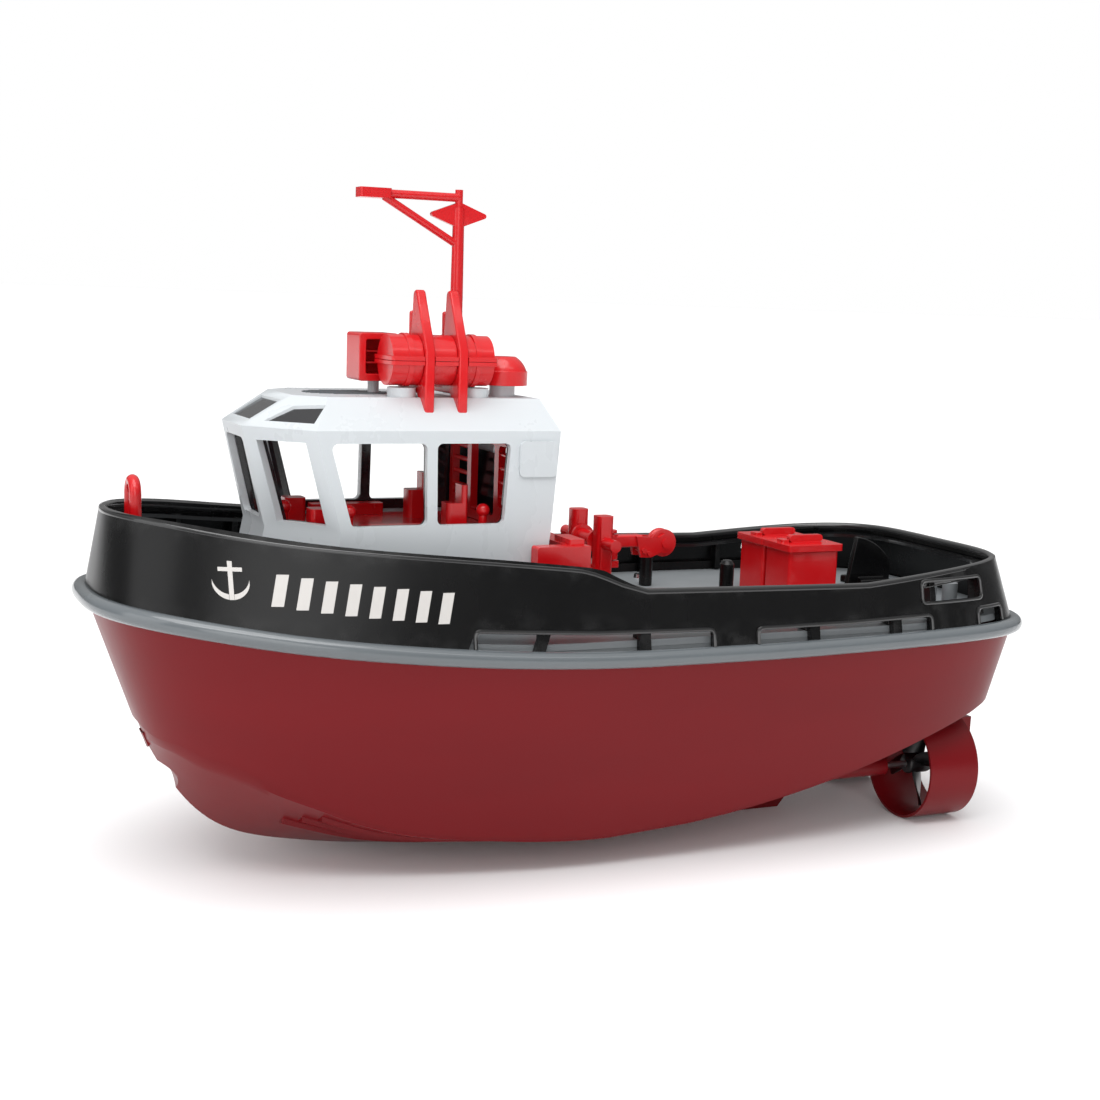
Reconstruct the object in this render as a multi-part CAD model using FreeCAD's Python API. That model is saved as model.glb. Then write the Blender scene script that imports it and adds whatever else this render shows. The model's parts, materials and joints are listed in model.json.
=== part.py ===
import FreeCAD, Part
import math
import os

os.makedirs("parts", exist_ok=True)

# Toy harbour tug, millimetres. X runs from bow (-) to stern (+), Y is athwartships with
# port at -Y, Z is up from the surface the keel and the nozzles stand on.
V = FreeCAD.Vector
PORT, STARBOARD = -1, 1
SIDES = {"port": PORT, "starboard": STARBOARD}

# ---- driving dimensions ------------------------------------------------------------
HALF_LENGTH = 142.5          # outside of the rubbing rail, bow and stern
HALF_BEAM = 58.5             # outside of the rubbing rail
RAIL_R = 2.4                 # half-round rubbing rail
RAIL_DEPTH = 2.5             # how far it stands off the hull at bow and stern
RAIL_BOW_N, RAIL_STERN_N = 2.8, 5.6   # fullness of its outline
WALL = 2.0                   # moulded wall of hull and superstructure
PART_GAP = 0.15              # seam between two pieces fixed together
RUN_GAP = 0.3                # free gap round a moving piece

# Sheer: height of the rail over the length, and of the bulwark's rim above it.
SHEER = [(-150, 79.0), (-118, 75.2), (-94, 71.8), (-69, 69.0), (-43, 66.7), (-14, 65.1),
         (35, 64.6), (84, 65.3), (150, 65.6)]
RIM_FORE = [(-150, 102.2), (-132, 101.1), (-105, 97.3), (-62, 93.2), (-20, 89.4)]
RIM_AFT = [(-1, 83.2), (87, 83.0), (122, 85.5), (150, 85.8)]
RIM_STEP_PULL = 6.0          # how far the S-step's two arms reach past its ends

# Plan outline at two heights: bow reach, stern reach, half beam, bow and stern fullness.
BULWARK_LOW = (60.0, 142.3, 141.0, 57.4, 3.05, 5.6)
BULWARK_HIGH = (106.0, 135.3, 131.4, 49.6, 2.1, 4.0)
HULL_LOW = (0.0, 112.0, 131.4, 37.0, 1.6, 5.0)
HULL_HIGH = (80.0, 140.1, 141.0, 60.6, 2.8, 5.6)

# Bottom: station, keel height, slope of the V from keel to chine.
BOTTOM = [(-150, 75, 0.05), (-126.3, 40.8, 0.12), (-120.5, 30.2, 0.54), (-114.4, 21.0, 0.73),
          (-107.9, 14.3, 0.81), (-96, 8.1, 0.72), (-84, 5.3, 0.58), (-71.7, 3.2, 0.45), (-41, 0.7, 0.30),
          (-11, 0, 0.24), (21, 0.2, 0.27), (54, 4.2, 0.30), (89, 17.0, 0.22), (125.6, 34.6, 0.10),
          (150, 43.0, 0.03)]
LIP = 0.8                    # step in at the chine

DECK_TOP = [(-150, 82.0), (-118, 78.7), (-94, 75.3), (-69, 72.4), (-43, 70.2), (-20, 69.5)]
DECK_Z = 69.5
DECK_T = 1.8

# Running gear.
SHAFT_Y = 22.0
SHAFT_Z = 17.0
SHAFT_R = 1.0
TUBE_R = 2.8
NOZZLE_R = 17.0
NOZZLE_BORE_R = 15.2
NOZZLE_X = (109.6, 127.6)
PROP_X = 116.0
PROP_R = 14.4
BLADES = 4
STOCK_X = 130.8
TILLER_X = 120.8
TILLER_Z = 56.0

# Wheelhouse levels: height, front X, front half width, corner X, corner half width, rear X.
HOUSE_LEVELS = [(77.0, -99.2, 11.6, -83.2, 31.2, -21.6), (96.9, -94.9, 11.8, -79.3, 31.0, -19.2),
                (124.1, -101.3, 11.0, -86.0, 29.6, -16.5)]
ROOF_LEVEL = (132.4, -88.0, 12.6, -80.4, 20.5, -19.3)
HOUSE_BASE_Z = 77.0
EAVE_Z = 124.1

# Deck gear.
BITT_X, BITT_Y, BITT_TOP = 7.8, 8.7, 97.4
BAR_Z = 89.4
ARM_PIVOT_X = 14.6
SHEAVE_X, SHEAVE_Z = 32.0, 87.6
CHEEK_PINS = [(24.6, 85.6), (26.4, 84.7)]
BOX_X = (68.0, 87.8)
BOX_LID_Z = (85.6, 87.7)
MAST_X = -37.0

# Stubs on the roof: X, Y, top, radius.
ROOF_STUBS = [(-58.6, -16.5, 135.0, 3.9), (-37.0, -16.5, 135.0, 3.6), (-61.2, 0.0, 136.0, 1.6),
              (-26.6, -10.5, 135.6, 3.6), (MAST_X, 0.0, 137.0, 3.2)]

# Openings in the bulwark: freeing ports (start, end, top), and the quarter window.
PORTS = [(-50, -31.5, 74.3), (-28.5, -2.5, 72.8), (0.5, 20, 71.8), (34, 51.5, 71.4), (54.5, 80, 71.6),
         (83, 94, 72.2), (113, 125, 72.8)]
QUARTER_WINDOW_X = (91.0, 115.5)
QUARTER_WINDOW_Z = (75.5, 82.0)
SCREWS = [(-104, 0), (-96, -30), (-96, 30), (46, -40), (46, 40), (120, -18), (120, 18)]

# Wheelhouse openings: side windows in side view, roof panes in plan, front window and rear door.
SIDE_WINDOWS = [[(-82.2, 120.8), (-55.5, 120.8), (-55.5, 98.9), (-76.4, 98.9)],
                [(-52.6, 120.8), (-31.3, 120.8), (-33.3, 98.9), (-52.6, 98.9)]]
FRONT_WINDOW = [(-9.2, 120.8), (9.2, 120.8), (9.0, 99.2), (-9.0, 99.2)]
DIAGONAL_WINDOW = [(-98.0, -14.2, 120.6), (-87.9, -26.4, 120.8), (-82.6, -27.6, 99.0), (-92.6, -15.6, 99.0)]
DIAGONAL_OUTWARD = (-18.6, -15.3, 0)
ROOF_WINDOWS = [[(-96.0, -14.6), (-88.4, -16.4), (-81.6, -22.8), (-85.8, -26.6)],
                [(-98.6, -9.4), (-98.6, 9.4), (-90.4, 10.0), (-90.4, -10.0)]]
DOOR_HALF_WIDTH = 12.0
DOOR_Z = (95.0, 119.0)
# Roof gear: the life raft's barrel, the blades that grip it, and the vent.
RAFT_Y, RAFT_Z, RAFT_R = -16.5, 142.4, 6.9
RAFT_X = (-63.4, -34.2)
BLADE_X = (-54.6, -45.0)
BLADE_T = 2.7
BLADE_CLEARANCE = 0.1
VENT_X, VENT_Y, VENT_R = -26.4, -10.5, 6.9

# ---- helpers -----------------------------------------------------------------------
def box(x0, x1, y0, y1, z0, z1):
    return Part.makeBox(x1 - x0, y1 - y0, z1 - z0, V(x0, y0, z0))


def rod(start, end, radius):
    """Round bar between two points."""
    a, b = V(*start), V(*end)
    return Part.makeCylinder(radius, (b - a).Length, a, b - a)


def soft_box(x0, x1, y0, y1, z0, z1, radius, along="z"):
    """Box with its four edges along one axis rounded."""
    solid = box(x0, x1, y0, y1, z0, z1)
    direction = {"x": V(1, 0, 0), "y": V(0, 1, 0), "z": V(0, 0, 1)}[along]
    edges = [e for e in solid.Edges if abs(abs(e.tangentAt(e.FirstParameter).dot(direction)) - 1) < 1e-6]
    return solid.makeFillet(radius, edges)


def fuse(first, *others):
    solid = first.fuse(list(others)) if others else first
    return solid.removeSplitter()


def group(*solids):
    return Part.makeCompound(list(solids))


def prism(points, thickness, normal, radius=0):
    """Flat plate from its outline, thick along the normal, with its side edges rounded."""
    face = Part.Face(Part.makePolygon([V(*p) for p in points] + [V(*points[0])]))
    plate = face.extrude(V(*normal) * thickness)
    if radius:
        n = V(*normal)
        edges = [e for e in plate.Edges if len(e.Vertexes) == 2
                 and abs(abs((e.Vertexes[1].Point - e.Vertexes[0].Point).normalize().dot(n)) - 1) < 1e-6]
        plate = plate.makeFillet(radius, edges)
    return plate


def mirrored(shape):
    return shape.mirror(V(0, 0, 0), V(0, 1, 0))


def spline(points):
    curve = Part.BSplineCurve()
    curve.interpolate([V(*p) for p in points])
    return curve


def height_on(points, x):
    """Height of a side-view line at one station, read from its spline."""
    curve = spline([(px, 0, pz) for px, pz in points])
    return curve.value(station_parameter(curve, x)).z


def station_parameter(curve, x):
    low, high = curve.FirstParameter, curve.LastParameter
    for _ in range(40):
        middle = (low + high) / 2
        low, high = (middle, high) if curve.value(middle).x < x else (low, middle)
    return (low + high) / 2


def side_slab(edges_low, edges_high):
    """Solid between two side-view lines, across the whole beam."""
    reach = 80
    first, last = edges_low[0], edges_low[-1]
    low_start = first.valueAt(first.FirstParameter)
    low_end = last.valueAt(last.LastParameter)
    high_start = edges_high[0].valueAt(edges_high[0].FirstParameter)
    high_end = edges_high[-1].valueAt(edges_high[-1].LastParameter)
    ends = [Part.makeLine(low_end, high_end), Part.makeLine(low_start, high_start)]
    wire = Part.Wire(Part.__sortEdges__(list(edges_low) + list(edges_high) + ends))
    face = Part.Face(wire)
    face.translate(V(0, -reach, 0))
    return face.extrude(V(0, 2 * reach, 0))


def line_edge(points, lift=0.0):
    return spline([(x, 0, z + lift) for x, z in points]).toShape()


def flat_line(z, points=SHEER):
    return Part.makeLine(V(points[0][0], 0, z), V(points[-1][0], 0, z))


def outline(level, inset=0.0, count=44):
    """Closed plan outline: two superellipse halves that meet amidships."""
    z, bow, stern, beam, bow_n, stern_n = level
    points = []
    for k in range(count):
        t = 2 * math.pi * k / count
        reach, n = (stern, stern_n) if math.cos(t) >= 0 else (bow, bow_n)
        x = (reach - inset) * math.copysign(abs(math.cos(t)) ** (2 / n), math.cos(t))
        y = (beam - inset) * math.copysign(abs(math.sin(t)) ** (2 / n), math.sin(t))
        points.append(V(x, y, z))
    curve = Part.BSplineCurve()
    curve.interpolate(Points=points, PeriodicFlag=True)
    return Part.Wire(curve.toShape())


def flared_body(low, high, inset=0.0):
    return Part.makeLoft([outline(low, inset), outline(high, inset)], True, True)


def bottom_body(lift=0.0):
    """Everything above the V bottom."""
    half, top = 75, 130
    wires = []
    for x, keel, slope in BOTTOM:
        wing = keel + slope * half + lift
        wires.append(Part.makePolygon([V(x, 0, keel + lift), V(x, half, wing), V(x, half, top),
                                       V(x, -half, top), V(x, -half, wing), V(x, 0, keel + lift)]))
    return Part.makeLoft(wires, True, False)


def rim_edges(lift=0.0):
    """Rim line: fore spline, S-step, aft spline."""
    fore = spline([(x, 0, z + lift) for x, z in RIM_FORE])
    aft = spline([(x, 0, z + lift) for x, z in RIM_AFT])
    start, end = fore.EndPoint, aft.StartPoint
    out = fore.tangent(fore.LastParameter)[0]
    into = aft.tangent(aft.FirstParameter)[0]
    step = Part.BezierCurve()
    step.setPoles([start, start + out * RIM_STEP_PULL, end - into * RIM_STEP_PULL, end])
    return [fore.toShape(), step.toShape(), aft.toShape()]


# ---- hull, rail, deck, bulwark -----------------------------------------------------
def hull_block(inset, lift):
    return flared_body(HULL_LOW, HULL_HIGH, inset).common(bottom_body(lift))


def rudder_axis(side):
    return STOCK_X, side * SHAFT_Y


def hull_shell():
    topside = hull_block(0.0, 1.0)
    lower = hull_block(LIP, 0.0)
    outer = topside.fuse(lower)
    notch = rod((-123.4, -30, 24.3), (-123.4, 30, 24.3), 7.4)
    shell = outer.cut(notch).cut(hull_block(WALL + LIP, WALL))
    shell = shell.cut(side_slab([line_edge(SHEER, -PART_GAP / 2)], [flat_line(125)]))
    for side in SIDES.values():
        x, y = rudder_axis(side)
        shell = shell.cut(rod((x, y, 25), (x, y, 60), 1.25 + RUN_GAP))
        shell = shell.cut(rod((45, y, SHAFT_Z), (105, y, SHAFT_Z), TUBE_R))
    return shell


def keel_skeg():
    """Centre fin under the run aft, down to the standing surface."""
    blade = prism([(-20, -1.6, 0), (78, -1.6, 0), (98, -1.6, 24), (40, -1.6, 24), (-20, -1.6, 6)],
                  3.2, (0, 1, 0))
    return blade.cut(hull_block(LIP - 0.02, 0.0))


def upright_body(reach, beam, bow_n, stern_n):
    """Straight-sided body of one plan outline."""
    low, high = 50.0, 100.0
    return Part.makeLoft([outline((z, reach, reach, beam, bow_n, stern_n)) for z in (low, high)], True, True)


def sheer_band(half_height):
    return side_slab([line_edge(SHEER, -half_height)], [line_edge(SHEER, half_height)])


def rail_band(shy, half_height):
    """Band round the outline, following the sheer."""
    outer = upright_body(HALF_LENGTH - shy, HALF_BEAM - shy, RAIL_BOW_N, RAIL_STERN_N)
    inner = upright_body(HALF_LENGTH - RAIL_DEPTH, HALF_BEAM - RAIL_DEPTH + 1.0, RAIL_BOW_N, RAIL_STERN_N)
    return outer.cut(inner).common(sheer_band(half_height))


def rub_rail():
    """Half-round rail in two steps: a proud band and a taller, shallower one."""
    return rail_band(0.0, 0.55 * RAIL_R).fuse(rail_band(0.7, RAIL_R))


def inner_outline_body():
    """Space inside the bulwark and the hull's top edge."""
    return flared_body(BULWARK_LOW, BULWARK_HIGH, WALL + 2 * PART_GAP)


def deck_line(lift=0.0):
    """Side view of the deck's top: sheered foredeck, then the level main deck."""
    z = DECK_Z + lift
    return [line_edge(DECK_TOP, lift), Part.makeLine(V(-20, 0, z), V(150, 0, z))]


def deck():
    plate = side_slab(deck_line(-DECK_T), deck_line()).common(inner_outline_body())
    hatch = soft_box(-78, -30, -24, 24, 60, 90, 3).fuse(box(-88.2, -81.8, -5.2, 5.2, 60, 90))
    for x, y in SCREWS:
        plate = plate.cut(rod((x, y, 60), (x, y, 90), 1.25))
    return plate.cut(hatch)


def freeing_port(x0, x1, top, side):
    """Opening low in the bulwark, between the rail and a level top."""
    y0, y1 = sorted((side * 40, side * 70))
    return soft_box(x0, x1, y0, y1, 50, top, 1.5, "y")


def bulwark():
    outer = flared_body(BULWARK_LOW, BULWARK_HIGH)
    inner = flared_body(BULWARK_LOW, BULWARK_HIGH, WALL)
    wall = outer.cut(inner).common(side_slab([line_edge(SHEER, PART_GAP / 2)], rim_edges()))
    for side in SIDES.values():
        for x0, x1, top in PORTS:
            wall = wall.cut(freeing_port(x0, x1, top, side))
        y0, y1 = sorted((side * 35, side * 70))
        wall = wall.cut(soft_box(*QUARTER_WINDOW_X, y0, y1, *QUARTER_WINDOW_Z, 1.2, "y"))
    return wall


def deck_screws():
    solids = []
    for x, y in SCREWS:
        z = height_on(DECK_TOP, x) + 0.4 if x < -20 else DECK_Z + 0.02
        slot = box(x - 1.5, x + 1.5, y - 0.25, y + 0.25, z + 0.7, z + 2)
        head = Part.makeCone(2.2, 1.9, 1.2, V(x, y, z)).cut(slot)
        solids.append(head.fuse(rod((x, y, z - 6), (x, y, z), 1.1)))
    return group(*solids)


# ---- deck gear ---------------------------------------------------------------------
def bow_staple():
    """Inverted U across the stem, standing on the foredeck."""
    bar, half, x, top = 1.6, 3.7, -127.6, 108.6
    foot = height_on(DECK_TOP, x)
    bend = Part.makeTorus(half, bar, V(x, 0, top - half), V(1, 0, 0))
    bend = bend.common(box(x - 10, x + 10, -20, 20, top - half, top + 10))
    legs = [rod((x, y, foot), (x, y, top - half), bar) for y in (-half, half)]
    staple = fuse(bend, *legs, box(x - 3.4, x + 3.4, -7.5, 7.5, foot, foot + 2.0))
    return staple.cut(side_slab([flat_line(55)], deck_line(0.02)))


def winch_base():
    """Deckhouse block that wraps the wheelhouse's rear corners and carries the towing gear."""
    block = box(-15.8, -9.5, -37.0, 37.0, DECK_Z, 93.0)
    cheeks = [soft_box(-25.5, -15.0, *sorted((s * 32.4, s * 37.0)), 70.0, 93.0, 0.8, "y")
              for s in SIDES.values()]
    caps = [soft_box(-15.0, -10.5, *sorted((s * 24.0, s * 35.0)), 93.0, 94.6, 0.5) for s in SIDES.values()]
    plinth = box(-9.5, 14.0, -14, 14, DECK_Z, 74.0)
    return fuse(block, *cheeks, *caps, plinth)


def towing_posts():
    """Two posts with a cross bar through them and a stub on each outer end."""
    solids = [soft_box(BITT_X - 2.6, BITT_X + 2.6, s * BITT_Y - 2.6, s * BITT_Y + 2.6, 74.0, BITT_TOP, 1.6)
              for s in SIDES.values()]
    for s in SIDES.values():
        solids.append(rod((BITT_X, s * BITT_Y, BAR_Z), (BITT_X, s * 17.7, BAR_Z), 1.8))
    bar = rod((BITT_X, -BITT_Y, BAR_Z), (BITT_X, BITT_Y, BAR_Z), 1.2)
    lug = soft_box(BITT_X + 2.0, ARM_PIVOT_X + 2.4, -2.4, 2.4, 80.6, 82.6, 1.2)
    web = box(BITT_X - 2, BITT_X + 3, -BITT_Y, BITT_Y, 76.0, 82.6)
    pin = rod((ARM_PIVOT_X, 0, 82.0), (ARM_PIVOT_X, 0, 91.0), 1.1)
    cap = rod((ARM_PIVOT_X, 0, 91.0), (ARM_PIVOT_X, 0, 91.8), 2.0)
    return fuse(solids[0], *solids[1:], bar, web, lug, pin, cap)


def winch_drum():
    """Spool on the cross bar, between the posts."""
    half = BITT_Y - 2.6 - RUN_GAP
    core = rod((BITT_X, -half, BAR_Z), (BITT_X, half, BAR_Z), 2.4)
    flanges = [rod((BITT_X, y, BAR_Z), (BITT_X, y + 1.0, BAR_Z), 3.6) for y in (-half, half - 1.0)]
    bore = rod((BITT_X, -BITT_Y, BAR_Z), (BITT_X, BITT_Y, BAR_Z), 1.25)
    return fuse(core, *flanges).cut(bore)


def tow_arm():
    """Swinging arm: a bush on the upright pin and two cheek plates that hold the sheave."""
    bush = rod((ARM_PIVOT_X, 0, 83.0), (ARM_PIVOT_X, 0, 90.6), 2.4)
    arm = soft_box(ARM_PIVOT_X, 24.5, -2.2, 2.2, 86.6, 90.2, 0.6, "x")
    cheeks = []
    for y in (-3.2, 2.0):
        cheeks.append(prism([(22.0, y, 90.0), (SHEAVE_X + 1.2, y, 89.2), (SHEAVE_X + 1.6, y, 86.2),
                             (27.0, y, 83.4), (23.6, y, 83.6)], 1.2, (0, 1, 0)))
        cheeks.append(rod((SHEAVE_X, y, SHEAVE_Z), (SHEAVE_X, y + 1.2, SHEAVE_Z), 3.0))
    solid = fuse(bush, arm, *cheeks)
    solid = solid.cut(rod((ARM_PIVOT_X, 0, 80), (ARM_PIVOT_X, 0, 95), 1.15))
    solid = solid.cut(rod((SHEAVE_X, -9, SHEAVE_Z), (SHEAVE_X, 9, SHEAVE_Z), 1.02))
    return solid.cut([rod((x, -9, z), (x, 9, z), 0.82) for x, z in CHEEK_PINS])


def sheave_pin():
    shank = rod((SHEAVE_X, -3.9, SHEAVE_Z), (SHEAVE_X, 3.9, SHEAVE_Z), 1.0)
    heads = [rod((SHEAVE_X, y, SHEAVE_Z), (SHEAVE_X, y + 0.7, SHEAVE_Z), 1.5) for y in (-3.9, 3.2)]
    return fuse(shank, *heads)


def tow_sheave():
    disc = rod((SHEAVE_X, -1.7, SHEAVE_Z), (SHEAVE_X, 1.7, SHEAVE_Z), 4.2)
    groove = Part.makeTorus(4.6, 1.0, V(SHEAVE_X, 0, SHEAVE_Z), V(0, 1, 0))
    return disc.cut(groove).cut(rod((SHEAVE_X, -9, SHEAVE_Z), (SHEAVE_X, 9, SHEAVE_Z), 1.06))


def cheek_pins():
    """Spacer pins through the cheek plates."""
    return group(*[rod((x, -3.9, z), (x, 3.9, z), 0.8) for x, z in CHEEK_PINS])


def aft_box(side):
    y0, y1 = sorted((side * 0.2, side * 15.4))
    return soft_box(BOX_X[0] + 1, BOX_X[1] - 1, y0 + 0.5, y1 - 0.5, DECK_Z, BOX_LID_Z[0], 1.0)


def aft_box_lid(side):
    y0, y1 = sorted((side * 0.1, side * 16.0))
    lid = soft_box(*BOX_X, y0, y1, *BOX_LID_Z, 1.0)
    middle = side * 8.0
    grip = soft_box(72.5, 84.5, middle - 1.0, middle + 1.0, BOX_LID_Z[1], BOX_LID_Z[1] + 2.2, 1.0, "y")
    boss = soft_box(BOX_X[0] + 1.2, BOX_X[0] + 4, middle - 2, middle + 2, BOX_LID_Z[1], BOX_LID_Z[1] + 1.0, 0.9)
    return fuse(lid, grip, boss)


def stern_plinth():
    return rod((108, 0, DECK_Z), (108, 0, DECK_Z + 1.2), 13.0).fuse(
        rod((108, 0, DECK_Z + 1.2), (108, 0, DECK_Z + 2.2), 10.5))


def stern_fin():
    """Upright guide plate on the plinth with a curved top edge and a side fillet plate."""
    foot = DECK_Z + 2.2
    arc = Part.Arc(V(103.2, -1, 87.4), V(111.5, -1, 84.3), V(116.5, -1, 79.0)).toShape()
    lines = [Part.makeLine(V(*a), V(*b)) for a, b in (
        ((116.5, -1, 79.0), (116.5, -1, foot)), ((116.5, -1, foot), (100.2, -1, foot)),
        ((100.2, -1, foot), (103.2, -1, 87.4)))]
    plate = Part.Face(Part.Wire([arc] + lines)).extrude(V(0, 2, 0))
    wedge = prism([(102, -6, foot), (114, -6, foot), (114, -1, foot), (104.5, -1, foot)], 2.4, (0, 0, 1))
    return fuse(plate, wedge, mirrored(wedge))


def deck_posts():
    return group(*[fuse(rod((40.6, y, DECK_Z), (40.6, y, 84.6), 2.1),
                        Part.makeCone(2.1, 1.3, 1.2, V(40.6, y, 84.6))) for y in (-25.7, 25.7)])


def quay_bollards():
    solids = []
    for side in SIDES.values():
        y = side * 38.0
        base = soft_box(100, 117, y - 4, y + 4, DECK_Z, DECK_Z + 1.6, 1.5)
        posts = [rod((x, y, DECK_Z + 1.6), (x, y, 78.4), 2.3) for x in (104.6, 112.4)]
        solids.append(fuse(base, *posts))
    return group(*solids)


# ---- running gear ------------------------------------------------------------------
def stern_tube(side):
    y = side * SHAFT_Y
    tube = rod((47, y, SHAFT_Z), (103.5, y, SHAFT_Z), TUBE_R - 0.02)
    return tube.cut(rod((40, y, SHAFT_Z), (110, y, SHAFT_Z), SHAFT_R + 0.06))


def nozzle(side):
    """Duct round the propeller, hung from the hull bottom by a short strut."""
    y = side * SHAFT_Y
    x0, x1 = NOZZLE_X
    ring = rod((x0, y, SHAFT_Z), (x1, y, SHAFT_Z), NOZZLE_R)
    mouth = Part.makeCone(NOZZLE_BORE_R + 1.0, NOZZLE_BORE_R, 4.0, V(x0, y, SHAFT_Z), V(1, 0, 0))
    strut = box(x0 + 2, x1 - 2, y - 2.0, y + 2.0, SHAFT_Z + NOZZLE_R - 1.0, 50)
    solid = ring.fuse(strut).cut(rod((x0 - 1, y, SHAFT_Z), (x1 + 1, y, SHAFT_Z), NOZZLE_BORE_R)).cut(mouth)
    return solid.cut(hull_block(LIP - 0.02, -0.02))


def propeller(side):
    y = side * SHAFT_Y
    x = PROP_X
    hub = rod((x - 4, y, SHAFT_Z), (x + 4, y, SHAFT_Z), 3.2)
    nose = Part.makeCone(3.2, 1.4, 3.0, V(x + 4, y, SHAFT_Z), V(1, 0, 0))
    blade = prism([(x - 0.6, y - 2.6, SHAFT_Z + 2.0), (x - 0.6, y + 2.6, SHAFT_Z + 2.0),
                   (x - 0.6, y + 6.2, SHAFT_Z + PROP_R - 4.6), (x - 0.6, y + 3.6, SHAFT_Z + PROP_R - 1.2),
                   (x - 0.6, y - 3.6, SHAFT_Z + PROP_R - 1.2), (x - 0.6, y - 6.2, SHAFT_Z + PROP_R - 4.6)],
                  1.2, (1, 0, 0))
    centre = V(x, y, SHAFT_Z)
    blade.rotate(centre, V(0, 0, 1), side * 28)
    blades = []
    for k in range(BLADES):
        copy = blade.copy()
        copy.rotate(centre, V(1, 0, 0), 360.0 * k / BLADES)
        blades.append(copy)
    solid = fuse(hub, nose, *blades)
    return solid.cut(rod((x - 6, y, SHAFT_Z), (x + 2, y, SHAFT_Z), SHAFT_R))


def drive_shaft(side):
    y = side * SHAFT_Y
    return rod((42, y, SHAFT_Z), (118, y, SHAFT_Z), SHAFT_R)


def shaft_coupling(side):
    y = side * SHAFT_Y
    sleeve = rod((36, y, SHAFT_Z), (45.5, y, SHAFT_Z), 2.6)
    return sleeve.cut(rod((42, y, SHAFT_Z), (46, y, SHAFT_Z), SHAFT_R))


def motor(side):
    y = side * SHAFT_Y
    can = rod((14, y, SHAFT_Z + 0.4), (34, y, SHAFT_Z + 0.4), 6.0)
    flats = box(10, 40, y - 5.0, y + 5.0, 0, 40)
    nose = rod((34, y, SHAFT_Z), (35.7, y, SHAFT_Z), 1.5)
    return can.common(flats).fuse(nose)


def motor_mount():
    """Saddle across the hull that clamps both motors."""
    bridge = box(19, 29, -31, 31, SHAFT_Z + 6.6, SHAFT_Z + 8.4)
    legs = [box(19, 29, y - 0.9, y + 0.9, 7.7, SHAFT_Z + 7) for y in (-14, 14)]
    return fuse(bridge, *legs)


def rudder(side):
    """Balanced blade on an upright stock."""
    x, y = rudder_axis(side)
    blade = prism([(x - 1.7, y - 1.0, 2.2), (x + 4.8, y - 1.0, 2.2), (x + 5.4, y - 1.0, 31.0),
                   (x - 1.7, y - 1.0, 31.0)], 2.0, (0, 1, 0))
    return fuse(blade, rod((x, y, 30.0), (x, y, TILLER_Z + 2.2), 1.25))


def tiller(side):
    x, y = rudder_axis(side)
    arm = soft_box(TILLER_X - 2, x + 3, y - 2, y + 2, TILLER_Z, TILLER_Z + 2, 1.6)
    peg = rod((TILLER_X, y, TILLER_Z + 2), (TILLER_X, y, TILLER_Z + 4.6), 0.9)
    solid = arm.fuse(peg) if side == PORT else arm
    return solid.cut(rod((x, y, 50), (x, y, 62), 1.25))


def tie_rod():
    """Link from the port tiller's peg across to the starboard tiller."""
    z0, z1 = TILLER_Z + 2.3, TILLER_Z + 4.1
    bar = soft_box(TILLER_X - 1.6, TILLER_X + 1.6, -SHAFT_Y - 2.2, SHAFT_Y + 2.2, z0, z1, 1.4)
    for y in (-SHAFT_Y, SHAFT_Y):
        bar = bar.cut(rod((TILLER_X, y, 50), (TILLER_X, y, 70), 0.96))
    return bar


def steering_servo():
    body = soft_box(92, 112, -7, 7, 46, 60, 1.0)
    ears = box(88, 116, -5, 5, 54, 55.6)
    foot = box(90, 114, -3, 3, 36, 46.5)
    return fuse(body, ears, foot)


# ---- inside the hull ---------------------------------------------------------------
def battery_tray():
    tray = box(-76, -28, -23, 23, 18, 34).cut(box(-74.4, -29.6, -21.4, 21.4, 19.6, 40))
    feet = [box(x - 2, x + 2, y - 2, y + 2, 6.5, 18.2) for x in (-40,) for y in (-8, 8)]
    return fuse(tray.cut(box(-80, -20, -6, 6, 28, 40)), *feet)


def battery_pack():
    """Two pairs of round cells in one shrink-wrapped block."""
    cells = [rod((-73.4, y, 27.2), (-31.0, y, 27.2), 7.0) for y in (-14.1, 0, 14.1)]
    wrap = box(-73.0, -31.4, -14.1, 14.1, 25, 29.4)
    return fuse(cells[0], *cells[1:], wrap)


def circuit_board():
    board = box(-22, 8, -16, 16, 40, 41.4)
    chips = [box(-16, -8, -8, 0, 41.4, 43.4), box(-4, 4, 3, 10, 41.4, 44.2), box(-18, -12, 5, 12, 41.4, 46)]
    posts = [box(x - 1.5, x + 1.5, y - 1.5, y + 1.5, 8.5, 40) for x in (-20, 6) for y in (-10, 10)]
    return fuse(board, *chips, *posts)


def power_switch_body():
    """Slide switch in the deck under the wheelhouse."""
    plate = box(-90, -80, -9, 9, 75.2, 76.4)
    return plate.fuse(box(-88, -82, -5, 5, 66.0, 75.2)).cut(box(-86.6, -83.4, -3.6, 3.6, 73.0, 90))


def power_switch_slider():
    return box(-86.3, -83.7, -3.3, 0.7, 73.3, 75.9).fuse(box(-85.8, -84.2, -2.4, -0.2, 75.9, 79.0))


def ballast_weight():
    return box(-24, 6, -9, 9, 4.8, 8.4)


# ---- wheelhouse --------------------------------------------------------------------
def house_ring(level, inset=0.0):
    z, xf, wf, xc, wc, xr = level
    points = [(xf, -wf), (xf, wf), (xc, wc), (xr, wc), (xr, -wc), (xc, -wc)]
    middle = (xf + xr) / 2
    scaled = []
    for x, y in points:
        scaled.append(V(x - math.copysign(inset, x - middle), y - math.copysign(inset, y), z))
    return Part.makePolygon(scaled + [scaled[0]])


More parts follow.
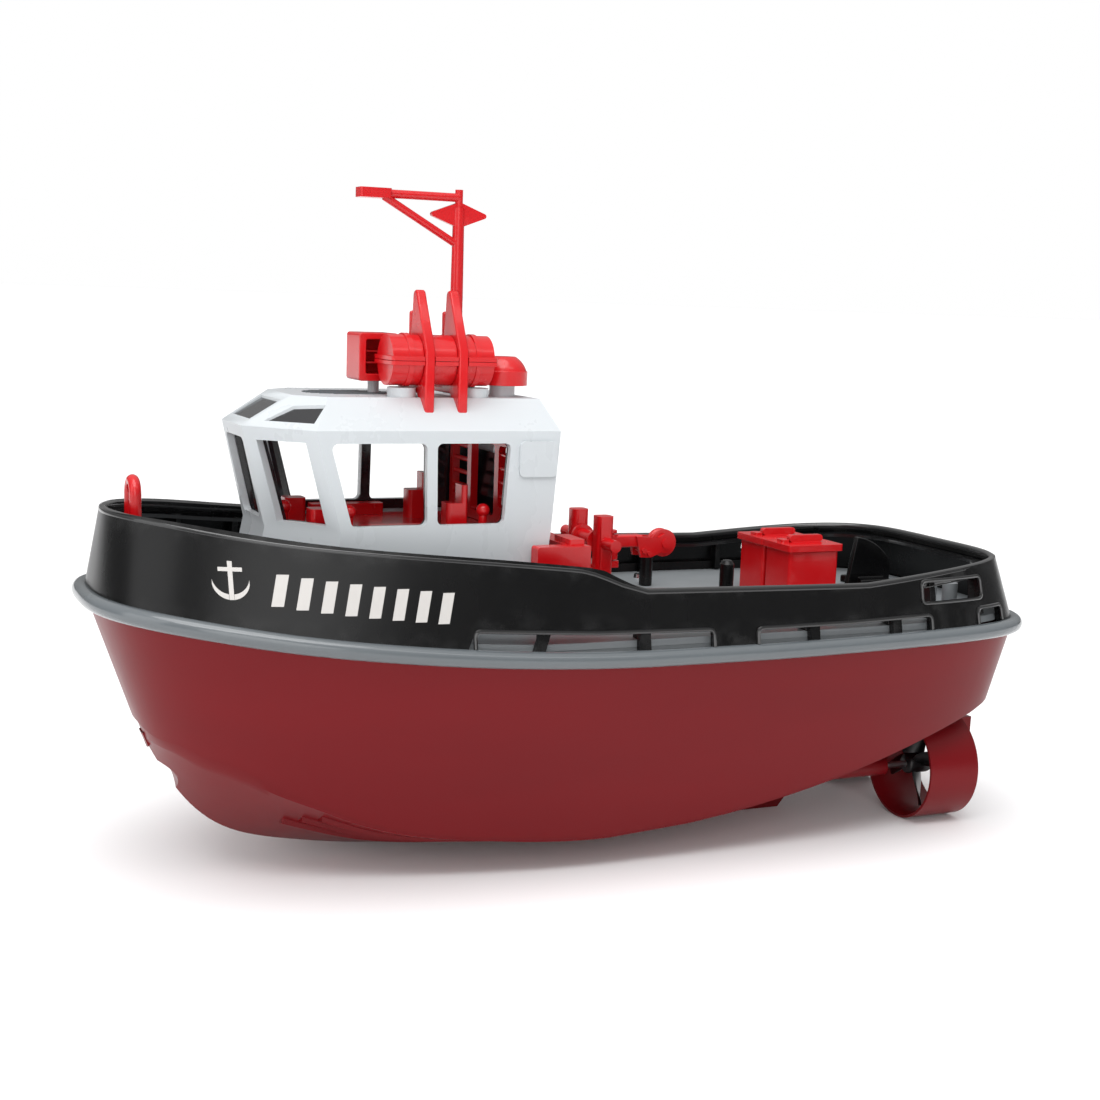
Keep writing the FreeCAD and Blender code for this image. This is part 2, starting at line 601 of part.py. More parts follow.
def house_body(inset=0.0, drop=0.0):
    """Wheelhouse block, drawn in by an inset, with its roof lowered by a drop."""
    wires = [house_ring(level, inset) for level in HOUSE_LEVELS]
    wires.append(house_ring((ROOF_LEVEL[0] - drop,) + ROOF_LEVEL[1:], inset))
    return Part.makeLoft(wires, True, True)


def side_window_cutters():
    return [prism([(x, -50, z) for x, z in window], 100, (0, 1, 0), 1.6) for window in SIDE_WINDOWS]


def front_window_cutters():
    """Openings through the front wall and the two diagonal walls."""
    front = prism([(-110, y, z) for y, z in FRONT_WINDOW], 30, (1, 0, 0), 1.6)
    outward = V(*DIAGONAL_OUTWARD).normalize()
    half_depth = 6
    corners = [V(*corner) + outward * half_depth for corner in DIAGONAL_WINDOW]
    diagonal = ruled_face(corners).extrude(outward * (-2 * half_depth))
    return [front, diagonal, mirrored(diagonal)]


def ruled_face(points):
    """Four-sided face whose corners need not be flat."""
    return Part.makeRuledSurface(Part.makeLine(points[0], points[1]), Part.makeLine(points[3], points[2]))


def roof_window_columns():
    """Upright prisms through the sloping roof facets over the front walls."""
    low = EAVE_Z + 0.5
    diagonal = prism([(x, y, low) for x, y in ROOF_WINDOWS[0]], 20, (0, 0, 1))
    front = prism([(x, y, low) for x, y in ROOF_WINDOWS[1]], 20, (0, 0, 1))
    return [diagonal, mirrored(diagonal), front]


def wheelhouse_shell():
    outer = house_body()
    shell = outer.cut(house_body(WALL, WALL))
    for cutter in side_window_cutters() + front_window_cutters() + roof_window_columns():
        shell = shell.cut(cutter)
    door = soft_box(-30, -10, -DOOR_HALF_WIDTH, DOOR_HALF_WIDTH, *DOOR_Z, 1.5, "x")
    shell = shell.cut(door)
    for x, y, z, r in ROOF_STUBS:
        shell = shell.fuse(rod((x, y, 128.5), (x, y, z), r))
    panels = [soft_box(-29.0, -17.9, *sorted((s * 28.0, s * 30.9)), 111.6, 121.4, 1.5, "y")
              for s in SIDES.values()]
    return shell.fuse(panels).cut(house_body(WALL, WALL))


def window_liner():
    """Dark glazing frame inside the walls."""
    outer = house_body(WALL + PART_GAP, WALL + 4.0)
    ring = outer.cut(house_body(WALL + PART_GAP + 0.9, WALL + 6.0))
    ring = ring.common(box(-120, -20.5, -50, 50, 96.0, 121.8))
    for cutter in side_window_cutters() + front_window_cutters():
        ring = ring.cut(cutter)
    return ring


def roof_windows():
    """Dark panes set in the roof's sloping facets."""
    pane_body = house_body(0.5, 0.5).cut(house_body(1.6, 1.6))
    panes = []
    for column in roof_window_columns():
        panes.append(pane_body.common(column))
    return group(*[s for pane in panes for s in pane.Solids])


def cabin_interior():
    """Console floor with helm seats and levers."""
    floor = house_body(WALL + 3.0, WALL + 6).common(box(-92, -24, -40, 40, 93.6, 95.2))
    seats = [soft_box(x, x + 6, y - 3, y + 3, 95.2, z, 1.2) for x, y, z in
             ((-83.4, -14, 102), (-83.4, 12, 102), (-46, -18, 103.5), (-46, 14, 103.5))]
    backs = [soft_box(x + 4.2, x + 6, y - 3, y + 3, 95.2, z + 5, 0.8) for x, y, z in
             ((-46, -18, 103.5), (-46, 14, 103.5))]
    knobs = [fuse(rod((x, y, 95.2), (x, y, 101), 1.2), Part.makeSphere(1.9, V(x, y, 101.6)))
             for x, y in ((-88, -6), (-78, -22), (-74, -20), (-36, -22))]
    bench = soft_box(-72, -50, -27, -22, 95.2, 98.4, 0.8)
    return fuse(floor, *seats, *backs, *knobs, bench, mirrored(bench))


def rear_bulkhead():
    """Red rear screen with a doorway and a ladder on each side of it."""
    screen = box(-27.6, -25.4, -26.4, 26.4, 95.4, 121.4)
    screen = screen.cut(soft_box(-30, -20, -9, 9, 98, 118.5, 1.5, "x"))
    for s in SIDES.values():
        screen = screen.cut(soft_box(-30, -20, *sorted((s * 12, s * 24)), 101, 118.5, 1.5, "x"))
    rungs = [rod((-26.5, 11.5, z), (-26.5, 24.5, z), 0.7) for z in (104, 108, 112, 116)]
    return fuse(screen, *rungs, *[mirrored(r) for r in rungs])


def house_coaming():
    """Low sill on the deck that the wheelhouse drops over."""
    plan = HOUSE_LEVELS[0][1:]
    outer = Part.makeLoft([house_ring((z,) + plan, 0.6) for z in (69.6, HOUSE_BASE_Z - 0.2)], True, True)
    inner = Part.makeLoft([house_ring((z,) + plan, 4.2) for z in (60.0, 90.0)], True, True)
    return outer.cut(inner).cut(side_slab([flat_line(55)], deck_line(0.02)))


# ---- roof gear ---------------------------------------------------------------------
def raft_halves():
    x0, x1 = RAFT_X
    barrel = rod((x0, RAFT_Y, RAFT_Z), (x1, RAFT_Y, RAFT_Z), RAFT_R)
    bands = [rod((x, RAFT_Y, RAFT_Z), (x + 1.6, RAFT_Y, RAFT_Z), RAFT_R + 0.4) for x in (x0 + 4.5, x1 - 5.4)]
    flange = soft_box(x0 - 0.6, x1 + 0.6, RAFT_Y - RAFT_R - 1.0, RAFT_Y + RAFT_R + 1.0,
                      RAFT_Z - 1.2, RAFT_Z + 1.2, 0.8)
    return fuse(barrel, *bands, flange)


def life_raft_upper():
    half = raft_halves().common(box(-80, -20, -30, 0, RAFT_Z + 0.05, 160))
    return half.cut(blade_space(BLADE_CLEARANCE))


def life_raft_lower():
    half = raft_halves().common(box(-80, -20, -30, 0, 120, RAFT_Z - 0.05))
    return half.cut(blade_space(BLADE_CLEARANCE))


def blade_plates(extra=0.0):
    """Two tall plates across the raft that grip it, each from the eave to a raised horn."""
    plates = []
    for x in BLADE_X:
        points = [(x - extra, y, z) for y, z in
                  ((-24.6, 126.6), (-24.6, 145.2), (-15.2, 161.2), (-12.6, 161.2), (-12.0, 133.4),
                   (-17.4, 133.4), (-21.5, 126.6))]
        plates.append(prism(points, BLADE_T + 2 * extra, (1, 0, 0), 0.5 if not extra else 0))
    return plates


def blade_space(extra):
    plates = blade_plates(extra)
    return plates[0].fuse(plates[1])


def raft_cradle():
    """Blade plates with low cross arms to the roof's middle."""
    arms = [box(x, x + BLADE_T, -13, -1.5, 133.4, 135.2) for x in BLADE_X]
    horns = [soft_box(x + 0.4, x + BLADE_T - 0.4, -3.4, -1.5, 133.4, 155.6, 0.5, "x") for x in BLADE_X]
    cradle = fuse(blade_plates()[0], blade_plates()[1], *arms, *horns)
    return cradle.cut(house_body(-0.02, -0.02))


def light_box():
    """Open-fronted lamp box that faces port."""
    case = soft_box(-67.6, -56.4, -7.0, 5.0, 136.0, 149.2, 0.9, "y")
    case = case.cut(soft_box(-65.6, -58.2, -8, 2.6, 138.0, 147.4, 0.6, "y"))
    fins = [box(-65.8, -58.0, -3.0, 2.8, z, z + 0.6) for z in (140.6, 143.8)]
    return fuse(case, *fins)


def vent_dome():
    base = rod((VENT_X, VENT_Y, 135.6), (VENT_X, VENT_Y, 139.6), VENT_R)
    crown = Part.makeSphere(VENT_R, V(VENT_X, VENT_Y, 137.6))
    return fuse(base, crown.common(box(VENT_X - 10, VENT_X + 10, -25, 5, 139.6, 143.6)))


def mast():
    """Post with a forward boom and brace, a diamond plate and a thin top pin."""
    post = Part.makeCone(1.95, 1.6, 184.4 - 137.0, V(MAST_X, 0, 137.0))
    pin = rod((MAST_X, 0, 184.0), (MAST_X, 0, 189.4), 1.1)
    foot = Part.makeCone(3.0, 2.2, 4.0, V(MAST_X, 0, 137.0))
    boom = rod((MAST_X, 0, 187.2), (-59, 0, 187.2), 1.2)
    brace = rod((MAST_X - 1, 0, 174.6), (-59, 0, 186.4), 1.1)
    lamp = soft_box(-66.6, -57.6, -2.6, 2.6, 185.9, 188.6, 0.6)
    diamond = prism([(-46.6, -0.8, 182.4), (-37, -0.8, 186.0), (-27.6, -0.8, 182.4), (-37, -0.8, 178.8)],
                    1.6, (0, 1, 0), 0.7)
    return fuse(post, pin, foot, boom, brace, lamp, diamond)


# ---- export ------------------------------------------------------------------------
NODES = {
    "hull_shell": hull_shell, "keel_skeg": keel_skeg, "rub_rail": rub_rail, "deck": deck,
    "bulwark": bulwark, "deck_screws": deck_screws, "bow_staple": bow_staple, "winch_base": winch_base,
    "towing_posts": towing_posts, "winch_drum": winch_drum, "tow_arm": tow_arm, "sheave_pin": sheave_pin,
    "tow_sheave": tow_sheave, "cheek_pins": cheek_pins, "stern_plinth": stern_plinth,
    "stern_fin": stern_fin, "deck_posts": deck_posts, "quay_bollards": quay_bollards,
    "motor_mount": motor_mount, "tie_rod": tie_rod, "steering_servo": steering_servo,
    "battery_tray": battery_tray, "battery_pack": battery_pack, "circuit_board": circuit_board,
    "power_switch_body": power_switch_body, "power_switch_slider": power_switch_slider,
    "ballast_weight": ballast_weight, "house_coaming": house_coaming,
    "wheelhouse_shell": wheelhouse_shell, "window_liner": window_liner, "roof_windows": roof_windows,
    "cabin_interior": cabin_interior, "rear_bulkhead": rear_bulkhead,
    "life_raft_upper": life_raft_upper, "life_raft_lower": life_raft_lower, "raft_cradle": raft_cradle,
    "light_box": light_box, "vent_dome": vent_dome, "mast": mast,
}
PAIRS = {
    "aft_box": aft_box, "aft_box_lid": aft_box_lid, "stern_tube": stern_tube, "nozzle": nozzle,
    "propeller": propeller, "drive_shaft": drive_shaft, "shaft_coupling": shaft_coupling,
    "motor": motor, "rudder": rudder, "tiller": tiller,
}


def main():
    for name, build in NODES.items():
        save(name, build())
    for name, build in PAIRS.items():
        for side_name, side in SIDES.items():
            save(side_name + "_" + name, build(side))


def save(name, shape):
    shape.exportStep("parts/" + name + ".step")


if __name__ == "__main__":
    main()
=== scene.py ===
import bisect
import json
import math

import bmesh
import bpy
from mathutils import Matrix, Vector
from mathutils.bvhtree import BVHTree

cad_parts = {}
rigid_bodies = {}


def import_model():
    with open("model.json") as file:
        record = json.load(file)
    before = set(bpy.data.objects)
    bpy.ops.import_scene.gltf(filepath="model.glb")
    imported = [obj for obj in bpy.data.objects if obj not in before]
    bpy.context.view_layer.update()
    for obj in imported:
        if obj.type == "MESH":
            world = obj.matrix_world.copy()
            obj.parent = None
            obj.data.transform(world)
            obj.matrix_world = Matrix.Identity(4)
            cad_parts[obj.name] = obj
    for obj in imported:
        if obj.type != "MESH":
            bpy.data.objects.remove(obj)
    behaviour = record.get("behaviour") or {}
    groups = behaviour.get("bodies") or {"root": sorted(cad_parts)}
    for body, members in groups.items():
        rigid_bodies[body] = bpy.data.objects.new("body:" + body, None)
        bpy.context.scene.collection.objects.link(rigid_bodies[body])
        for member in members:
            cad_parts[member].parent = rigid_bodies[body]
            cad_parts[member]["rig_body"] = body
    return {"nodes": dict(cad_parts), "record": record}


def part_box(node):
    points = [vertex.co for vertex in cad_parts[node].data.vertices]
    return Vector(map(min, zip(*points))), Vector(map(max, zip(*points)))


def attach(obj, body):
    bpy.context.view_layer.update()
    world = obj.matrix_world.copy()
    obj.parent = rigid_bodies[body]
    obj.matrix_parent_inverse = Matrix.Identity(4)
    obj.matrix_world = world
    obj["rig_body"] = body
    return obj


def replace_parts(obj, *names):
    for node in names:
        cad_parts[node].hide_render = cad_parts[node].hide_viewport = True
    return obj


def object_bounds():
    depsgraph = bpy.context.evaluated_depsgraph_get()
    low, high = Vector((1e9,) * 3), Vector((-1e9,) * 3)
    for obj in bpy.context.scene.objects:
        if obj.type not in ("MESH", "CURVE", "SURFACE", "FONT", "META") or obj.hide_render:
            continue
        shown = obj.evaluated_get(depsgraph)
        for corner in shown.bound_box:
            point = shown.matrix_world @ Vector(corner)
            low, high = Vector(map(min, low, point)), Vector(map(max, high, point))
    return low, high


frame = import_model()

# Toy harbour tug: metres, bow at -X, port at -Y, standing on Z = 0.
CAD_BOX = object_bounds()
MM = 0.001
SIDES = {"port": -1, "starboard": 1}
NODES = frame["nodes"]
SCENE = bpy.context.scene

WALL_T = 2 * MM
RAIL_R = 2.4 * MM
RAIL_BOW_N, RAIL_STERN_N = 2.8, 5.6
CHINE_LIP = 0.8 * MM
CHINE_LIP_HEIGHT = 1.0 * MM
SHAFT_Y, SHAFT_Z = 22 * MM, 17 * MM
RAFT_PLATE_X, RAFT_PLATE_T = (-54.6, -45.0), 2.7
STOCK_X = 130.8 * MM
ROOF_Z = 132.4 * MM
DECK_LEVEL = 69.5 * MM

# Plan outlines: height, bow and stern reach, half beam, bow and stern fullness (lengths in mm).
BULWARK = ((60, 142.3, 141.0, 57.4, 3.05, 5.6), (106, 135.3, 131.4, 49.6, 2.1, 4.0))
TOPSIDE = ((0, 112.0, 131.4, 37.0, 1.6, 5.0), (80, 140.1, 141.0, 60.6, 2.8, 5.6))

# Bottom: station, keel height, slope of the V (mm).
BOTTOM = [(-150, 75, 0.05), (-126.3, 40.8, 0.12), (-120.5, 30.2, 0.54), (-114.4, 21.0, 0.73),
          (-107.9, 14.3, 0.81), (-96, 8.1, 0.72), (-84, 5.3, 0.58), (-71.7, 3.2, 0.45), (-41, 0.7, 0.30),
          (-11, 0, 0.24), (21, 0.2, 0.27), (54, 4.2, 0.30), (89, 17.0, 0.22), (125.6, 34.6, 0.10),
          (150, 43.0, 0.03)]
NOTCH = (-123.4 * MM, 24.3 * MM, 7.4 * MM)

# Openings in the bulwark: freeing ports (start, end, top), and the quarter window (mm).
PORTS = [(-50, -31.5, 74.3), (-28.5, -2.5, 72.8), (0.5, 20, 71.8), (34, 51.5, 71.4), (54.5, 80, 71.6),
         (83, 94, 72.2), (113, 125, 72.8)]
PORT_GROUPS = [(-50, 20, 74.3, 71.8), (34, 94, 71.4, 72.2), (113, 125, 72.8, 72.8)]
QUARTER_WINDOW = (91.0, 115.5, 75.5, 82.0)
PORT_Z = 74 * MM
RIB_STATIONS = (-112, -92, -70, -51.5, -30, -1, 27, 52.5, 81.5, 98, 119)

# Stations of the deck's edge and of the starboard waterway bar (mm).
DECK_EDGE = range(-50, 98, 3)
WATERWAY = range(-8, 98, 3)

# Stretch over which the bulwark's mesh rows run from evenly spaced to the quarter window's levels (mm).
ROWS_BLEND = (50.0, 88.0)

# Holes through the bottom: start, end, radius (mm). Stocks are upright, shafts lie along X.
STOCK_HOLE = (25, 60, 1.6)
SHAFT_HOLE = (45, 105, 2.8)

# Mouldings along the bulwark: drop below the crest, outset from the face, radius (mm).
CREST_BEAD = (0.7, -0.9, 1.15)
CREST_LINE = (3.6, -0.05, 0.22)
PORT_LIP_R, WINDOW_LIP_R = 0.62, 0.55

# Bottom strakes: start, end and half breadth at the start (mm).
STRAKES = ((-82, -34, 27.5), (-86, -30, 21.0), (-90, -26, 14.5))

# Printed bars: how many, first station, spacing, height over the sheer, width, lean, half height (mm).
BARS = (8, -101.0, 5.9, 12.2, 3.0, 1.8, 3.9)
ANCHOR_X, ANCHOR_UP = -110, 13.4
PRINT_PROUD = 0.12 * MM

# Roof grille: station, half length, half width, slats, slat width, slat height (mm).
GRILLE = (-69, 12.5, 8.0, 9, 0.7, 0.35)

# Propeller: hub stations along the shaft with their radii, blade root and span (mm), blades.
HUB = ((-4, 2.6), (-3.4, 3.2), (3.4, 3.2), (5, 2.7), (6.3, 1.9), (7, 0.6))
BLADE_ROOT, BLADE_SPAN, BLADES = 2.6, 11.1, 4

# Strength of the room's light at the horizon and overhead.
WORLD_HORIZON, WORLD_ZENITH = 0.16, 0.95
# Suns: direction, strength, spread (degrees).
SUNS = {
    "ceiling": ((0.2, 0.25, -1), 1.9, 50),
    "front": ((0.35, 0.9, -0.3), 0.75, 40),
}
# Soft boxes: place, aim, size (m), power (W).
BOXES = {
    "bow_box": ((-0.8, -0.15, 0.35), (-0.1, 0, 0.08), (0.45, 0.6), 1.2),
    "strip": ((-0.1, -0.5, 0.8), (0, 0, 0.07), (1.2, 0.15), 1.2),
}
# Camera, solved on the hull's symmetry and standing points: lens (mm), place (m), axes.
CAMERA_LENS = 55.18
CAMERA_AT = (-0.20968, -0.45177, 0.160)
CAMERA_RIGHT = (0.91273, -0.40742, 0.03427)
CAMERA_FORWARD = (0.40783, 0.90113, -0.14715)


# ---- node helpers ------------------------------------------------------------------
class Shader:
    """One material's node tree, with short calls for what the materials share."""

    def __init__(self, name):
        self.material = bpy.data.materials.new(name)
        self.material.use_nodes = True
        self.tree = self.material.node_tree
        self.surface = self.tree.nodes["Principled BSDF"]
        self.place = self.add("ShaderNodeTexCoord").outputs["Object"]

    def add(self, kind, **settings):
        node = self.tree.nodes.new(kind)
        for key, value in settings.items():
            setattr(node, key, value)
        return node

    def link(self, source, target):
        self.tree.links.new(source, target)

    def noise(self, scale, detail=3.0, stretch=None, roughness=0.5):
        """Noise in object space, scale in features per metre."""
        node = self.add("ShaderNodeTexNoise")
        node.inputs["Scale"].default_value = scale
        node.inputs["Detail"].default_value = detail
        node.inputs["Roughness"].default_value = roughness
        place = self.place
        if stretch:
            mapping = self.add("ShaderNodeMapping")
            mapping.inputs["Scale"].default_value = stretch
            self.link(place, mapping.inputs["Vector"])
            place = mapping.outputs["Vector"]
        self.link(place, node.inputs["Vector"])
        return node.outputs["Fac"]

    def ramp(self, value, low, high, to_low=0.0, to_high=1.0):
        node = self.add("ShaderNodeMapRange")
        node.inputs["From Min"].default_value = low
        node.inputs["From Max"].default_value = high
        node.inputs["To Min"].default_value = to_low
        node.inputs["To Max"].default_value = to_high
        self.link(value, node.inputs["Value"])
        return node.outputs["Result"]

    def mix(self, factor, first, second):
        """Colour mix: each of first and second is a colour or a socket."""
        node = self.add("ShaderNodeMix", data_type="RGBA")
        self.link(factor, node.inputs["Factor"])
        for value, socket in ((first, node.inputs["A"]), (second, node.inputs["B"])):
            if isinstance(value, tuple):
                socket.default_value = value
            else:
                self.link(value, socket)
        return node.outputs["Result"]

    def bump(self, height, distance, strength=1.0, normal=None):
        node = self.add("ShaderNodeBump")
        node.inputs["Distance"].default_value = distance
        node.inputs["Strength"].default_value = strength
        self.link(height, node.inputs["Height"])
        if normal is not None:
            self.link(normal, node.inputs["Normal"])
        return node.outputs["Normal"]

    def worn_edges(self, low=0.52, high=0.60):
        pointiness = self.add("ShaderNodeNewGeometry").outputs["Pointiness"]
        return self.ramp(pointiness, low, high)


def shade(colour, gain):
    return tuple(min(1.0, c * gain) for c in colour[:3]) + (1.0,)


def plastic(name, colour, rough, grain=0.010 * MM, coat=0.0, variation=0.05, wear=0.12, gloss=0.5):
    """Moulded plastic: faint flow marks, a fine tool texture, rubbed edges and handling scuffs."""
    s = Shader(name)
    flow = s.ramp(s.noise(22, 3.0, (0.35, 1.0, 1.6)), 0.35, 0.65)
    body = s.mix(flow, shade(colour, 1 - variation), shade(colour, 1 + variation))
    edge_noise = s.ramp(s.noise(160, 4.0), 0.45, 0.65, 0.0, wear)
    wear_mask = s.add("ShaderNodeMath", operation="MULTIPLY")
    s.link(s.worn_edges(), wear_mask.inputs[0])
    s.link(edge_noise, wear_mask.inputs[1])
    rubbed = tuple(c + (1 - c) * 0.12 for c in colour[:3]) + (1.0,)
    s.link(s.mix(wear_mask.outputs["Value"], body, rubbed), s.surface.inputs["Base Color"])
    smears = s.noise(40, 5.0, (1.0, 1.0, 0.5), 0.6)
    s.link(s.ramp(smears, 0.3, 0.7, rough * 0.88, rough * 1.14), s.surface.inputs["Roughness"])
    scuffs = s.bump(s.noise(300, 3.0, (0.12, 1.0, 1.0)), 0.002 * MM, 0.5)
    s.link(s.bump(s.noise(1800, 2.0), grain, 0.5, scuffs), s.surface.inputs["Normal"])
    s.surface.inputs["Specular IOR Level"].default_value = gloss
    s.surface.inputs["Coat Weight"].default_value = coat
    s.surface.inputs["Coat Roughness"].default_value = 0.06
    s.surface.inputs["IOR"].default_value = 1.45
    return s.material


def metal(name, colour, rough, stretch, pits=0.0):
    """Drawn or cast metal with its working marks."""
    s = Shader(name)
    lines = s.noise(700, 3.0, stretch)
    body = s.mix(s.ramp(lines, 0.3, 0.7), shade(colour, 0.82), shade(colour, 1.1))
    s.link(body, s.surface.inputs["Base Color"])
    s.link(s.ramp(s.noise(120, 4.0), 0.3, 0.7, rough * 0.8, rough * 1.3), s.surface.inputs["Roughness"])
    marks = s.bump(lines, 0.01 * MM, 0.7)
    s.link(s.bump(s.noise(900, 4.0), 0.01 * MM + pits, 0.6, marks), s.surface.inputs["Normal"])
    s.surface.inputs["Metallic"].default_value = 1.0
    return s.material


def circuit_green():
    """Solder mask over copper tracks."""
    s = Shader("circuit_green")
    tracks = s.add("ShaderNodeTexBrick")
    tracks.inputs["Scale"].default_value = 160
    tracks.inputs["Mortar Size"].default_value = 0.05
    s.link(s.place, tracks.inputs["Vector"])
    mask = s.mix(tracks.outputs["Fac"], (0.01, 0.11, 0.04, 1), (0.03, 0.22, 0.08, 1))
    s.link(mask, s.surface.inputs["Base Color"])
    s.link(s.ramp(s.noise(200), 0.3, 0.7, 0.22, 0.4), s.surface.inputs["Roughness"])
    s.link(s.bump(tracks.outputs["Fac"], 0.04 * MM), s.surface.inputs["Normal"])
    return s.material


def floor_paper():
    """White seamless paper, faintly mottled, bright enough to run into the background."""
    s = Shader("floor_paper")
    mottle = s.mix(s.ramp(s.noise(3.0), 0.3, 0.7), (0.90, 0.90, 0.905, 1), (0.92, 0.92, 0.925, 1))
    s.link(mottle, s.surface.inputs["Base Color"])
    s.surface.inputs["Roughness"].default_value = 0.8
    s.surface.inputs["Emission Color"].default_value = (1, 1, 1, 1)
    s.surface.inputs["Emission Strength"].default_value = 0.03
    return s.material


MATERIALS = {
    "hull_maroon": plastic("hull_maroon", (0.148, 0.0035, 0.006), 0.32, grain=0.004 * MM,
                           wear=0.0, gloss=0.22),
    "rail_grey": plastic("rail_grey", (0.105, 0.118, 0.127), 0.24, grain=0.004 * MM, coat=0.6, wear=0.0),
    "deck_grey": plastic("deck_grey", (0.20, 0.215, 0.225), 0.42, grain=0.03 * MM),
    "bulwark_black": plastic("bulwark_black", (0.0022, 0.0022, 0.0024), 0.26, grain=0.004 * MM, gloss=0.32),
    "bead_black": plastic("bead_black", (0.004, 0.004, 0.0044), 0.30, grain=0.002 * MM, coat=0.8, wear=0.0),
    "trim_red": plastic("trim_red", (0.55, 0.004, 0.007), 0.25, grain=0.004 * MM, coat=0.2),
    "house_white": plastic("house_white", (0.545, 0.575, 0.595), 0.28, grain=0.003 * MM, variation=0.012,
                           wear=0.0),
    "glazing_dark": plastic("glazing_dark", (0.012, 0.012, 0.014), 0.16, coat=0.3),
    "propeller_black": plastic("propeller_black", (0.003, 0.003, 0.0035), 0.30),
    "fitting_black": plastic("fitting_black", (0.008, 0.008, 0.009), 0.42, grain=0.03 * MM),
    "battery_wrap": plastic("battery_wrap", (0.02, 0.07, 0.28), 0.28, coat=0.5),
    "marking_grey": plastic("marking_grey", (0.52, 0.50, 0.48), 0.38, variation=0.03),
    "steel": metal("steel", (0.56, 0.56, 0.57), 0.28, (0.02, 1.0, 1.0)),
    "ballast_iron": metal("ballast_iron", (0.10, 0.10, 0.105), 0.6, (1, 1, 1), 0.05 * MM),
    "board_green": circuit_green(),
}


# ---- mesh helpers ------------------------------------------------------------------
def new_piece(name, bm, material, body, smooth_angle=32.0):
    """Object from a bmesh: shaded smooth except at its real edges, and riding its body."""
    bmesh.ops.recalc_face_normals(bm, faces=bm.faces)
    limit = math.radians(smooth_angle)
    for face in bm.faces:
        face.smooth = True
    for edge in bm.edges:
        edge.smooth = len(edge.link_faces) == 2 and edge.calc_face_angle(0.0) < limit
    mesh = bpy.data.meshes.new(name)
    bm.to_mesh(mesh)
    bm.free()
    custom = mesh.attributes.get("custom_normal")
    if custom:
        mesh.attributes.remove(custom)
    mesh.materials.clear()
    mesh.materials.append(MATERIALS[material])
    piece = bpy.data.objects.new(name, mesh)
    SCENE.collection.objects.link(piece)
    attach(piece, body)
    return piece


def round_edges(piece, width, segments=2):
    modifier = piece.modifiers.new("soft_edges", "BEVEL")
    modifier.width = width
    modifier.segments = segments
    modifier.limit_method = "ANGLE"
    modifier.angle_limit = math.radians(40)
    modifier.harden_normals = True


def refined(node, material, width=0.0, smooth_angle=32.0):
    """Detailed stand-in for a CAD node: welded, flats merged and edges rounded."""
    bm = bmesh.new()
    bm.from_mesh(NODES[node].data)
    bmesh.ops.remove_doubles(bm, verts=bm.verts, dist=1e-6)
    bmesh.ops.dissolve_limit(bm, angle_limit=math.radians(0.3), verts=bm.verts, edges=bm.edges)
    piece = new_piece(node + "_skin", bm, material, NODES[node]["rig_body"], smooth_angle)
    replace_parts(piece, node)
    if width:
        round_edges(piece, width)
    return piece


def sweep(bm, path, section, closed=False, up=Vector((0, 0, 1))):
    """Section points (sideways, upwards) carried along a path of points."""
    rings = []
    count = len(path)
    for k, point in enumerate(path):
        before = path[(k - 1) % count] if closed or k > 0 else point
        after = path[(k + 1) % count] if closed or k < count - 1 else point
        tangent = (after - before).normalized()
        side = tangent.cross(up).normalized()
        lift = side.cross(tangent).normalized()
        rings.append([bm.verts.new(point + side * a + lift * b) for a, b in section])
    spans = count if closed else count - 1
    for k in range(spans):
        first, second = rings[k], rings[(k + 1) % count]
        for j in range(len(section)):
            i = (j + 1) % len(section)
            bm.faces.new((first[j], first[i], second[i], second[j]))
    if not closed:
        bm.faces.new(rings[0])
        bm.faces.new(list(reversed(rings[-1])))


def rectangle(half_wide, low, high):
    """Section for a sweep."""
    return [(-half_wide, low), (half_wide, low), (half_wide, high), (-half_wide, high)]


def circle(radius, count=12):
    return [(radius * math.cos(2 * math.pi * k / count), radius * math.sin(2 * math.pi * k / count))
            for k in range(count)]


def slab(bm, corners, offset):
    """Closed plate from a ring of corners and a thickness vector."""
    low = [bm.verts.new(c) for c in corners]
    high = [bm.verts.new(c + offset) for c in corners]
    bm.faces.new(low)
    bm.faces.new(list(reversed(high)))
    for k in range(len(corners)):
        i = (k + 1) % len(corners)
        bm.faces.new((low[i], low[k], high[k], high[i]))


# ---- the ship's lines ----------------------------------------------------------------
def cubic_through(points):
    """Natural cubic spline through (x, value) points."""
    xs, ys = zip(*points)
    count = len(xs)
    gaps = [b - a for a, b in zip(xs, xs[1:])]
    rises = [(b - a) / gap for a, b, gap in zip(ys, ys[1:], gaps)]
    diagonal, right = [1.0] * count, [0.0] * count
    for k in range(1, count - 1):
        lower = 0.0 if k == 1 else gaps[k - 1] / diagonal[k - 1]
        diagonal[k] = 2 * (gaps[k - 1] + gaps[k]) - lower * (0.0 if k == 1 else gaps[k - 1])
        right[k] = 6 * (rises[k] - rises[k - 1]) - lower * (0.0 if k == 1 else right[k - 1])
    bends = [0.0] * count
    for k in range(count - 2, 0, -1):
        bends[k] = (right[k] - gaps[k] * bends[k + 1]) / diagonal[k]

    def value(x):
        k = min(max(bisect.bisect_right(xs, x) - 1, 0), count - 2)
        a, b, gap = xs[k + 1] - x, x - xs[k], gaps[k]
        return ((bends[k] * a ** 3 + bends[k + 1] * b ** 3) / (6 * gap)
                + (ys[k] / gap - bends[k] * gap / 6) * a + (ys[k + 1] / gap - bends[k + 1] * gap / 6) * b)

    return value


keel_line = cubic_through([(x, keel) for x, keel, _ in BOTTOM])
v_slope = cubic_through([(x, slope) for x, _, slope in BOTTOM])


def bottom_height(x, y):
    return max(0.0, keel_line(x / MM) * MM + v_slope(x / MM) * abs(y))


